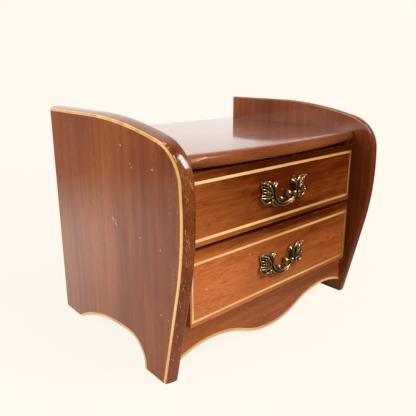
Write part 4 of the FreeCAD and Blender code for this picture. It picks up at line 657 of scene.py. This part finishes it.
# One end of a pull, drawn for its right-hand end in millimetres from the pull's middle:
# across, up, above the drawer front, radius
BAND = [
    [(10.9, 5.8, 2.3, 1.10), (12.3, 5.4, 2.8, 1.00), (13.3, 3.6, 3.7, 0.85), (13.4, 0.2, 4.0, 0.80),
     (12.6, -3.2, 4.1, 0.76), (10.4, -6.6, 4.1, 0.74), (7.2, -8.9, 4.0, 0.72), (3.6, -10.2, 4.0, 0.70),
     (-0.2, -10.6, 4.0, 0.68)],
    [(15.9, -3.7, 3.1, 0.90), (14.0, -6.2, 3.4, 0.85), (10.8, -9.3, 3.5, 0.80), (7.0, -11.5, 3.4, 0.76),
     (3.4, -12.6, 3.4, 0.74), (-0.2, -12.9, 3.4, 0.72)],
]
BAND_CORE = [
    (13.2, 4.6, 1.7, 1.30), (14.2, 0.4, 1.9, 1.70), (13.6, -4.0, 2.0, 1.85), (11.0, -7.6, 2.0, 1.60),
    (7.3, -10.1, 1.9, 1.40), (3.4, -11.4, 1.9, 1.30), (-0.2, -11.8, 1.9, 1.25),
]
FRONDS = [
    [(15.6, -1.2, 3.2, 0.95), (17.4, 2.6, 3.8, 0.95), (20.6, 6.0, 3.6, 0.90), (24.4, 8.3, 2.8, 0.80),
     (27.6, 9.0, 1.8, 0.60)],
    [(14.9, 1.6, 2.9, 0.75), (15.3, 5.0, 3.1, 0.85), (16.8, 7.2, 2.9, 0.85), (19.4, 9.0, 2.2, 0.62)],
    [(17.2, 0.9, 2.9, 0.66), (20.2, 3.7, 3.0, 0.70), (23.8, 5.8, 2.4, 0.64), (27.0, 6.5, 1.5, 0.45)],
    [(17.4, -0.5, 2.9, 0.66), (20.8, 1.7, 3.0, 0.72), (24.2, 3.3, 2.4, 0.66), (26.4, 3.7, 1.4, 0.42)],
    [(17.4, -1.8, 2.8, 0.66), (21.0, -0.4, 3.0, 0.74), (24.2, 0.8, 2.4, 0.66), (25.8, 1.1, 1.4, 0.42)],
    [(17.0, -2.8, 2.8, 0.68), (20.8, -2.4, 3.1, 0.78), (24.8, -1.6, 2.6, 0.76), (27.6, -1.2, 1.5, 0.52)],
    [(16.4, -3.7, 2.9, 0.78), (20.0, -4.3, 3.4, 0.84), (24.4, -3.9, 2.9, 0.90), (27.8, -3.5, 1.8, 0.72)],
    [(26.6, -4.6, 2.2, 0.85), (25.2, -6.9, 2.6, 0.92), (22.2, -8.3, 2.9, 0.98), (18.8, -7.9, 3.2, 1.00),
     (16.9, -6.3, 3.6, 1.10)],
    [(17.6, -5.1, 2.4, 0.60), (20.2, -6.0, 2.6, 0.66), (23.0, -5.8, 2.2, 0.52)],
    [(19.0, 8.8, 1.7, 0.62), (22.0, 9.2, 1.8, 0.66), (25.6, 9.3, 1.7, 0.66), (27.6, 8.8, 1.6, 0.64),
     (27.4, 6.3, 1.5, 0.60), (26.4, 3.9, 1.5, 0.58), (25.9, 1.4, 1.5, 0.58), (27.0, -1.1, 1.6, 0.62),
     (28.0, -3.2, 1.7, 0.66), (27.0, -4.9, 1.8, 0.70)],
    [(12.2, 6.5, 2.3, 0.95), (10.6, 7.0, 2.0, 0.95), (9.2, 6.0, 1.9, 0.95), (9.8, 4.6, 2.0, 0.85),
     (11.0, 5.1, 2.6, 0.66)],
    [(13.2, 1.6, 2.7, 0.80), (14.8, 3.6, 2.8, 0.85), (14.7, 6.2, 2.6, 0.78), (13.3, 7.6, 2.3, 0.66)],
    [(14.6, -8.0, 2.2, 0.85), (13.4, -10.4, 2.2, 0.90), (11.4, -11.9, 2.4, 0.84), (9.4, -12.2, 2.8, 0.66)],
]
WEB = [
    [(17.0, 2.3, 1.9, 1.5), (20.6, 5.6, 2.1, 1.7), (24.2, 7.8, 1.7, 1.4), (27.0, 8.8, 1.2, 0.8)],
    [(14.6, 2.0, 0.9, 1.9), (17.6, 3.9, 1.0, 2.2), (21.6, 5.6, 0.9, 2.2), (25.6, 7.4, 0.8, 1.3)],
    [(15.6, -1.6, 1.0, 2.5), (19.4, -0.5, 1.0, 2.9), (23.2, 1.1, 0.9, 2.5), (25.2, 2.1, 0.7, 1.6)],
    [(15.8, -4.0, 1.0, 2.3), (19.6, -4.2, 1.1, 2.9), (23.6, -3.7, 1.0, 2.6), (26.2, -3.2, 0.8, 1.5)],
    [(17.6, -6.2, 1.1, 1.6), (20.6, -6.7, 1.1, 1.9), (23.4, -6.3, 1.0, 1.6)],
    [(10.2, 6.3, 1.3, 1.6), (12.4, 6.2, 1.3, 1.7), (14.4, 5.0, 1.2, 1.6)],
]
BEADS = [
    (10.7, 5.8, 2.7, 1.20), (16.9, -6.3, 4.0, 1.15), (20.4, 5.9, 4.2, 0.95), (23.2, 7.7, 3.8, 0.95),
    (26.6, 8.8, 2.8, 0.95), (27.6, -3.5, 2.2, 0.95), (27.0, -1.4, 2.2, 0.75), (22.0, 1.2, 3.3, 0.70),
    (22.2, 4.9, 3.3, 0.70),
]
POST = [(19.5, 0.0, 0.3, 2.3), (19.5, -0.2, 1.0, 2.3), (19.5, -0.4, 2.0, 2.3)]
# The turned knob stands clear on the right arm and sits behind the band on the left one
RIGHT_KNOB = [(4.6, -3.8, 2.4, 3.30), (10.9, -3.9, 3.9, 2.30), (16.1, -3.6, 4.6, 1.15)]
RIGHT_NECK = [(6.6, -3.9, 2.6, 1.50), (8.6, -4.0, 3.1, 1.10), (10.3, -4.0, 3.7, 1.30)]
LEFT_KNOB = [(-4.6, -7.0, 2.2, 2.35)]
LEFT_NECK = [(-5.8, -7.4, 2.0, 1.30), (-8.4, -7.0, 2.0, 1.10), (-11.0, -5.4, 2.2, 1.20)]
# The castings sit a little askew: rise per length across, and millimetres off the middle
PULL_TILT = {"upper_pull": -0.022, "lower_pull": -0.006}
PULL_SHIFT = {"upper_pull": -1.2, "lower_pull": 0.0}


def curve_points(knots, steps=7):
    """Catmull-Rom curve through knots of any length, so that a radius can travel with the place."""
    knots = [np.array(k, float) for k in knots]
    padded = [2 * knots[0] - knots[1]] + knots + [2 * knots[-1] - knots[-2]]
    found = []
    for a, b, c, d in zip(padded, padded[1:], padded[2:], padded[3:]):
        for step in range(steps):
            t = step / steps
            found.append(0.5 * (2 * b + (c - a) * t + (2 * a - 5 * b + 4 * c - d) * t * t
                                + (3 * b - a - 3 * c + d) * t ** 3))
    found.append(knots[-1])
    return found


def stroke(mesh, knots, flat=1.0):
    """Round-ended bar through knots (across, up, standoff, radius); flat squeezes it towards the wood."""
    line = curve_points(knots)
    spots = [Vector(p[:3]) for p in line]
    radii = [max(p[3], THINNEST) for p in line]
    start, end = spots[0] - spots[1], spots[-1] - spots[-2]
    rings = [(spots[0] + start.normalized() * radii[0] * far, radii[0] * wide) for wide, far in DOME]
    rings += list(zip(spots, radii))
    rings += [(spots[-1] + end.normalized() * radii[-1] * far, radii[-1] * wide)
              for wide, far in reversed(DOME)]
    loops = []
    for index, (spot, radius) in enumerate(rings):
        before, after = rings[max(index - 1, 0)][0], rings[min(index + 1, len(rings) - 1)][0]
        ahead = (after - before).normalized()
        side = ahead.cross(Vector((0, 0, 1)))
        if side.length < 0.1:
            side = Vector((1, 0, 0))
        side.normalize()
        rise = side.cross(ahead).normalized()
        loop = []
        for number in range(AROUND):
            angle = 2 * math.pi * number / AROUND
            shift = side * math.cos(angle) * radius + rise * math.sin(angle) * radius * flat
            loop.append(mesh.verts.new(spot + shift))
        loops.append(loop)
    join_loops(mesh, loops)


def beads(mesh, knots):
    for x, z, standoff, radius in knots:
        bmesh.ops.create_uvsphere(mesh, u_segments=20, v_segments=12, radius=radius,
                                  matrix=Matrix.Translation((x, z, standoff)))


def cast_pull(name, drawer):
    """The whole pull on a drawer's front, both ends alike but for the knob."""
    node_low, node_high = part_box(name)
    centre = Vector(((node_low.x + node_high.x) / 2, node_high.y, middle_height(drawer + "_front")))
    mesh = bmesh.new()

    def placed(knots, hand=1):
        return [((hand * x + PULL_SHIFT[name]) * MM, (z + PULL_TILT[name] * hand * x) * MM, s * MM, r * MM)
                for x, z, s, r in knots]

    for hand in (-1, 1):
        for knots in BAND + FRONDS:
            stroke(mesh, placed(knots, hand), BAND_DEPTH)
        stroke(mesh, placed(BAND_CORE, hand), CORE_DEPTH)
        for knots in WEB:
            stroke(mesh, placed(knots, hand), WEB_DEPTH)
        beads(mesh, placed(BEADS, hand))
        stroke(mesh, placed(POST, hand))
    for neck, knob in ((LEFT_NECK, LEFT_KNOB), (RIGHT_NECK, RIGHT_KNOB)):
        stroke(mesh, placed(neck))
        beads(mesh, placed(knob))
    # Across, up, standoff become the frame's X, Z and -Y
    turn = Matrix(((1, 0, 0, 0), (0, 0, -1, 0), (0, 1, 0, 0), (0, 0, 0, 1)))
    bmesh.ops.transform(mesh, matrix=turn, verts=mesh.verts)
    for vertex in mesh.verts:
        vertex.co.y = min(vertex.co.y, -PULL_GAP)
    bmesh.ops.recalc_face_normals(mesh, faces=mesh.faces)
    thing = mesh_object(name + "_cast", mesh)
    thing.location = centre
    melt(thing, PULL_VOXEL, 5, 0.45)
    paint(thing, brass_cast)
    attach(thing, drawer)
    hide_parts(name)


cast_pull("upper_pull", "upper_drawer")
cast_pull("lower_pull", "lower_drawer")


# Slotted screws

# The saw's length, width and twice its depth, as shares of the head's radius
SLOT_LENGTH = 2.4
SLOT_WIDTH = 0.30
SLOT_DEPTH = 0.44
# The first slot's turn, and how much further each screw is turned, in degrees
SLOT_START = 20.0
SLOT_TURN = 67.0
WELD_DISTANCE = 0.001 * MM


def loose_parts(mesh):
    """The separate shells of a mesh, as lists of corner points."""
    met = set()
    for first in mesh.verts:
        if first in met:
            continue
        met.add(first)
        reached = [first]
        for vertex in reached:
            for edge in vertex.link_edges:
                other = edge.other_vert(vertex)
                if other not in met:
                    met.add(other)
                    reached.append(other)
        yield [v.co.copy() for v in reached]


def slotted(name, outward, body):
    """A node's screws once more, with a slot sawn across each head."""
    thing = copy_of(name, name + "_slotted")
    mesh = bmesh.new()
    mesh.from_mesh(thing.data)
    bmesh.ops.remove_doubles(mesh, verts=mesh.verts, dist=WELD_DISTANCE)
    mesh.to_mesh(thing.data)
    outward = Vector(outward)
    saw = bmesh.new()
    for number, points in enumerate(loose_parts(mesh)):
        face = max(p.dot(outward) for p in points)
        flat = [p - outward * p.dot(outward) for p in points]
        middle = sum(flat, Vector()) / len(flat)
        radius = max((p - middle).length for p in flat)
        lie = Matrix.Translation(middle + outward * face)
        lie = lie @ outward.to_track_quat("Z", "Y").to_matrix().to_4x4()
        lie = lie @ Matrix.Rotation(math.radians(SLOT_TURN * number + SLOT_START), 4, "Z")
        lie = lie @ Matrix.Diagonal((SLOT_LENGTH * radius, SLOT_WIDTH * radius, SLOT_DEPTH * radius, 1.0))
        bmesh.ops.create_cube(saw, size=1.0, matrix=lie)
    mesh.free()
    blade = mesh_object(name + "_saw", saw)
    blade.matrix_world = thing.matrix_world.copy()
    slot = thing.modifiers.new("slot", "BOOLEAN")
    slot.operation = "DIFFERENCE"
    slot.solver = "EXACT"
    slot.object = blade
    bpy.context.view_layer.update()
    bake(thing)
    bpy.data.objects.remove(blade)
    paint(thing, steel)
    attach(thing, body)
    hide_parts(name)


slotted("back_screws", (0, 1, 0), "case")
slotted("movement_screws", (0, 0, -1), "case")
slotted("comb_screws", (0, 0, 1), "case")
slotted("upper_pull_screws", (0, 1, 0), "upper_drawer")
slotted("lower_pull_screws", (0, 1, 0), "lower_drawer")


# Velvet: linings with a rolled rim, and stuffed ring rolls

LINING_SKIN = 1.2 * MM
RIM_RADIUS = 1.1 * MM
FLOOR_SWEEP = 3.0 * MM
SEAM_RADIUS = 1.5 * MM
LIP_DROP = 0.8 * MM
WALL_STEPS = 8
SIDE_STEPS = 26
CORNER_STEPS = 5
# Height of the velvet's gentle waves, and waves per metre
WAVE = 0.10 * MM
WAVES = 60.0
ROLL_VOXEL = 2.2 * MM
ROLL_PRESSURE = 4.0
ROLL_FRAMES = 14
# The blown-up cloth stays this close to the solid
ROLL_CAP = 0.8 * MM


def rounded_loop(low, high, inset, height):
    """Points round a rectangle with soft corners, pulled in by inset, at one height."""
    radius = max(SEAM_RADIUS, inset)
    left, right = low.x + inset, high.x - inset
    near, far = low.y + inset, high.y - inset
    corners = [(right - radius, far - radius, 0), (left + radius, far - radius, 90),
               (left + radius, near + radius, 180), (right - radius, near + radius, 270)]
    turns = []
    for x, y, start in corners:
        angles = [math.radians(start + 90 * k / CORNER_STEPS) for k in range(CORNER_STEPS + 1)]
        turns.append([Vector((x + radius * math.cos(a), y + radius * math.sin(a), height)) for a in angles])
    loop = []
    for turn, following in zip(turns, turns[1:] + turns[:1]):
        loop += turn
        loop += [turn[-1].lerp(following[0], k / SIDE_STEPS) for k in range(1, SIDE_STEPS)]
    return loop


def lining_profile(low, high):
    """Section through a lining's wall, from its outer foot over the rim to its floor: inset, height."""
    top = high.z - RIM_RADIUS
    profile = [(0.0, low.z), (0.0, top)]
    for degrees in range(150, -61, -30):
        turn = math.radians(degrees)
        profile.append((RIM_RADIUS * (1 - math.cos(math.pi - turn)), top + RIM_RADIUS * math.sin(turn)))
    wall_top = profile[-1][1] - LIP_DROP
    wall_foot = low.z + LINING_SKIN + FLOOR_SWEEP
    for step in range(WALL_STEPS):
        profile.append((LINING_SKIN, wall_top + (wall_foot - wall_top) * step / WALL_STEPS))
    for degrees in range(0, 91, 15):
        turn = math.radians(degrees)
        profile.append((LINING_SKIN + FLOOR_SWEEP * (1 - math.cos(turn)),
                        wall_foot - FLOOR_SWEEP * math.sin(turn)))
    return profile


def velvet_lining(name, body):
    """Velvet glued into a drawer, its rim rolled over and its floor swept up at the sides."""
    low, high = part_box(name)
    mesh = bmesh.new()
    loops = []
    for number, (inset, height) in enumerate(lining_profile(low, high)):
        points = rounded_loop(low, high, inset, height)
        if number > 2:
            points = [p + Vector((0, 0, 1)) * WAVE * noise.noise(p * WAVES) for p in points]
        loops.append([mesh.verts.new(p) for p in points])
    join_loops(mesh, loops)
    bmesh.ops.recalc_face_normals(mesh, faces=mesh.faces)
    thing = mesh_object(name + "_velvet", mesh)
    smooth_faces(thing)
    paint(thing, velvet_cloth)
    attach(thing, body)
    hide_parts(name)


def blow_up(thing):
    """Short cloth simulation with pressure inside, held close to the form that it starts from."""
    start = [v.co.copy() for v in thing.data.vertices]
    cloth = thing.modifiers.new("cloth", "CLOTH")
    cloth.settings.use_pressure = True
    cloth.settings.uniform_pressure_force = ROLL_PRESSURE
    cloth.settings.effector_weights.gravity = 0.0
    scene = bpy.context.scene
    for number in range(1, ROLL_FRAMES + 1):
        scene.frame_set(number)
    bake(thing)
    scene.frame_set(1)
    for vertex, old in zip(thing.data.vertices, start):
        moved = vertex.co - old
        if moved.length > ROLL_CAP:
            vertex.co = old + moved * (ROLL_CAP / moved.length)


def stuffed_rolls():
    """Ring rolls: the solid's form, remeshed, blown up as cloth and kept within the solid's box."""
    thing = copy_of("ring_rolls", "ring_rolls_velvet")
    melt(thing, ROLL_VOXEL, 4, 0.5)
    blow_up(thing)
    low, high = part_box("ring_rolls")
    for vertex in thing.data.vertices:
        place = thing.matrix_world @ vertex.co
        place = Vector([min(max(p, a), b) for p, a, b in zip(place, low, high)])
        vertex.co = thing.matrix_world.inverted() @ place
    soft = thing.modifiers.new("soft", "SUBSURF")
    soft.levels = soft.render_levels = 1
    smooth_faces(thing)
    paint(thing, velvet_cloth)
    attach(thing, "upper_drawer")
    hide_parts("ring_rolls")


velvet_lining("upper_lining", "upper_drawer")
velvet_lining("lower_lining", "lower_drawer")
stuffed_rolls()


# Floor, light and camera

CREAM = (1.0, 0.947, 0.863, 1.0)
BACKDROP = (1.0, 0.99, 0.96, 1.0)
LAMP_WHITE = (1.0, 0.98, 0.95)
LAMP_TARGET = Vector((0, 0, 0.10))
AMBIENT = 0.28
FLOOR_REACH = 6.0
FLOOR_COLOUR = (0.86, 0.82, 0.76, 1.0)
# Middle of the bright floor that the left panel mirrors, and how far the brightness reaches
BRIGHT_SPOT = (-0.20, 0.26, 0.0)
BRIGHT_REACH = (0.05, 0.56)
BRIGHTEST = 1.35
# Mirrors see a brighter floor and room behind the box than before it: start and end in Y, and the
# strength at each; for the room, Y is that of the direction
FLOOR_BEHIND = (-0.1, 0.4, 0.0, 0.30)
ROOM_BEHIND = (-0.15, 0.45, 0.10, 1.45)
# The camera sees a little of the shadow near the bright spot and clean cream far from it: start and
# end of the distance, and the share of cream at each
SHADOW_FADE = (0.2, 0.7, 0.93, 1.0)

# The camera was fitted to the photograph's edges, in pixels, millimetres and degrees. Its depth is
# measured from the box's flat back.
PHOTO_SIDE = 416
FOCAL_PIXELS = 459.0
PRINCIPAL_POINT = (211.09, 197.49)
SENSOR = 36.0
CAMERA_X = -291.34 * MM
CAMERA_DEPTH = 403.39 * MM
CAMERA_Z = 227.04 * MM
CAMERA_YAW = 42.09
CAMERA_PITCH = 15.572
CAMERA_ROLL = 0.119


def studio_floor():
    """Pale floor: the camera sees it cream with a faint shadow, and mirrors see it fade with distance."""
    mesh = bpy.data.meshes.new("studio_floor")
    corners = [(x * FLOOR_REACH, y * FLOOR_REACH, 0) for x, y in ((-1, -1), (1, -1), (1, 1), (-1, 1))]
    mesh.from_pydata(corners, [], [(0, 1, 2, 3)])
    floor = add_object("studio_floor", mesh)
    g = new_material("studio_floor")
    surface = g.node("BsdfDiffuse", {"Color": FLOOR_COLOUR}).outputs[0]
    rays = g.node("LightPath").outputs
    mirrored = g.math("MAXIMUM", rays["Is Glossy Ray"], rays["Is Transmission Ray"])
    place = g.place()
    far = g.vector("DISTANCE", place, BRIGHT_SPOT)
    bright = g.rescale(far, *BRIGHT_REACH, BRIGHTEST, 0.0)
    behind = g.rescale(g.node("SeparateXYZ", {0: place}).outputs["Y"], *FLOOR_BEHIND, smooth=True)
    clean = g.rescale(far, *SHADOW_FADE, smooth=True)
    brightest = g.math("MAXIMUM", bright, behind)
    glow = g.node("Emission", {"Color": CREAM, "Strength": 1.0}).outputs[0]
    mirror_glow = g.node("Emission", {"Color": CREAM, "Strength": brightest}).outputs[0]
    to_camera = g.math("MULTIPLY", rays["Is Camera Ray"], clean)
    mixed = g.node("MixShader", {0: to_camera, 1: surface, 2: glow}).outputs[0]
    mixed = g.node("MixShader", {0: mirrored, 1: mixed, 2: mirror_glow}).outputs[0]
    g.show(mixed)
    mesh.materials.append(g.holder)


def studio_world():
    """Cream to the camera; mirrors see a bright backdrop behind the box and a dim room before it."""
    world = bpy.data.worlds.new("studio")
    bpy.context.scene.world = world
    g = Graph(world, "OutputWorld")
    rays = g.node("LightPath").outputs
    mirrored = g.math("MAXIMUM", rays["Is Glossy Ray"], rays["Is Transmission Ray"])
    direction = g.node("SeparateXYZ", {0: g.node("TexCoord").outputs["Generated"]}).outputs
    behind = g.rescale(direction["Y"], *ROOM_BEHIND, smooth=True)
    mirror = g.node("Background", {"Color": BACKDROP, "Strength": behind}).outputs[0]
    lit = g.node("Background", {"Color": LAMP_WHITE + (1.0,), "Strength": AMBIENT}).outputs[0]
    seen = g.node("Background", {"Color": CREAM, "Strength": 1.0}).outputs[0]
    shown = g.node("MixShader", {0: mirrored, 1: lit, 2: mirror}).outputs[0]
    g.show(g.node("MixShader", {0: rays["Is Camera Ray"], 1: shown, 2: seen}).outputs[0])


def lamp(name, place, size, power):
    """Soft rectangular lamp that faces the box's middle."""
    data = bpy.data.lights.new(name, "AREA")
    data.shape = "RECTANGLE"
    data.size, data.size_y = size
    data.energy = power
    data.color = LAMP_WHITE
    thing = add_object(name, data)
    thing.location = place
    thing.rotation_mode = "QUATERNION"
    thing.rotation_quaternion = (LAMP_TARGET - Vector(place)).to_track_quat("-Z", "Y")


def camera():
    data = bpy.data.cameras.new("camera")
    data.sensor_width = SENSOR
    data.lens = FOCAL_PIXELS / PHOTO_SIDE * SENSOR
    data.shift_x = (PHOTO_SIDE / 2 - PRINCIPAL_POINT[0]) / PHOTO_SIDE
    data.shift_y = (PRINCIPAL_POINT[1] - PHOTO_SIDE / 2) / PHOTO_SIDE
    data.clip_start = 0.01
    data.clip_end = 50.0
    thing = add_object("camera", data)
    yaw, pitch = math.radians(CAMERA_YAW), math.radians(CAMERA_PITCH)
    forward = Vector((math.sin(yaw) * math.cos(pitch), math.cos(yaw) * math.cos(pitch), -math.sin(pitch)))
    thing.location = (CAMERA_X, at_depth(CAMERA_DEPTH), CAMERA_Z)
    thing.rotation_mode = "QUATERNION"
    aim = forward.to_track_quat("-Z", "Y")
    roll = Matrix.Rotation(math.radians(CAMERA_ROLL), 4, "Z").to_quaternion()
    thing.rotation_quaternion = aim @ roll
    bpy.context.scene.camera = thing


studio_floor()
studio_world()
lamp("key_light", (0.44, -1.07, 1.36), (0.45, 0.9), 30.0)
lamp("left_light", (-1.50, 0.45, 0.80), (1.0, 1.0), 22.0)
camera()
bpy.context.scene.view_settings.view_transform = "Standard"
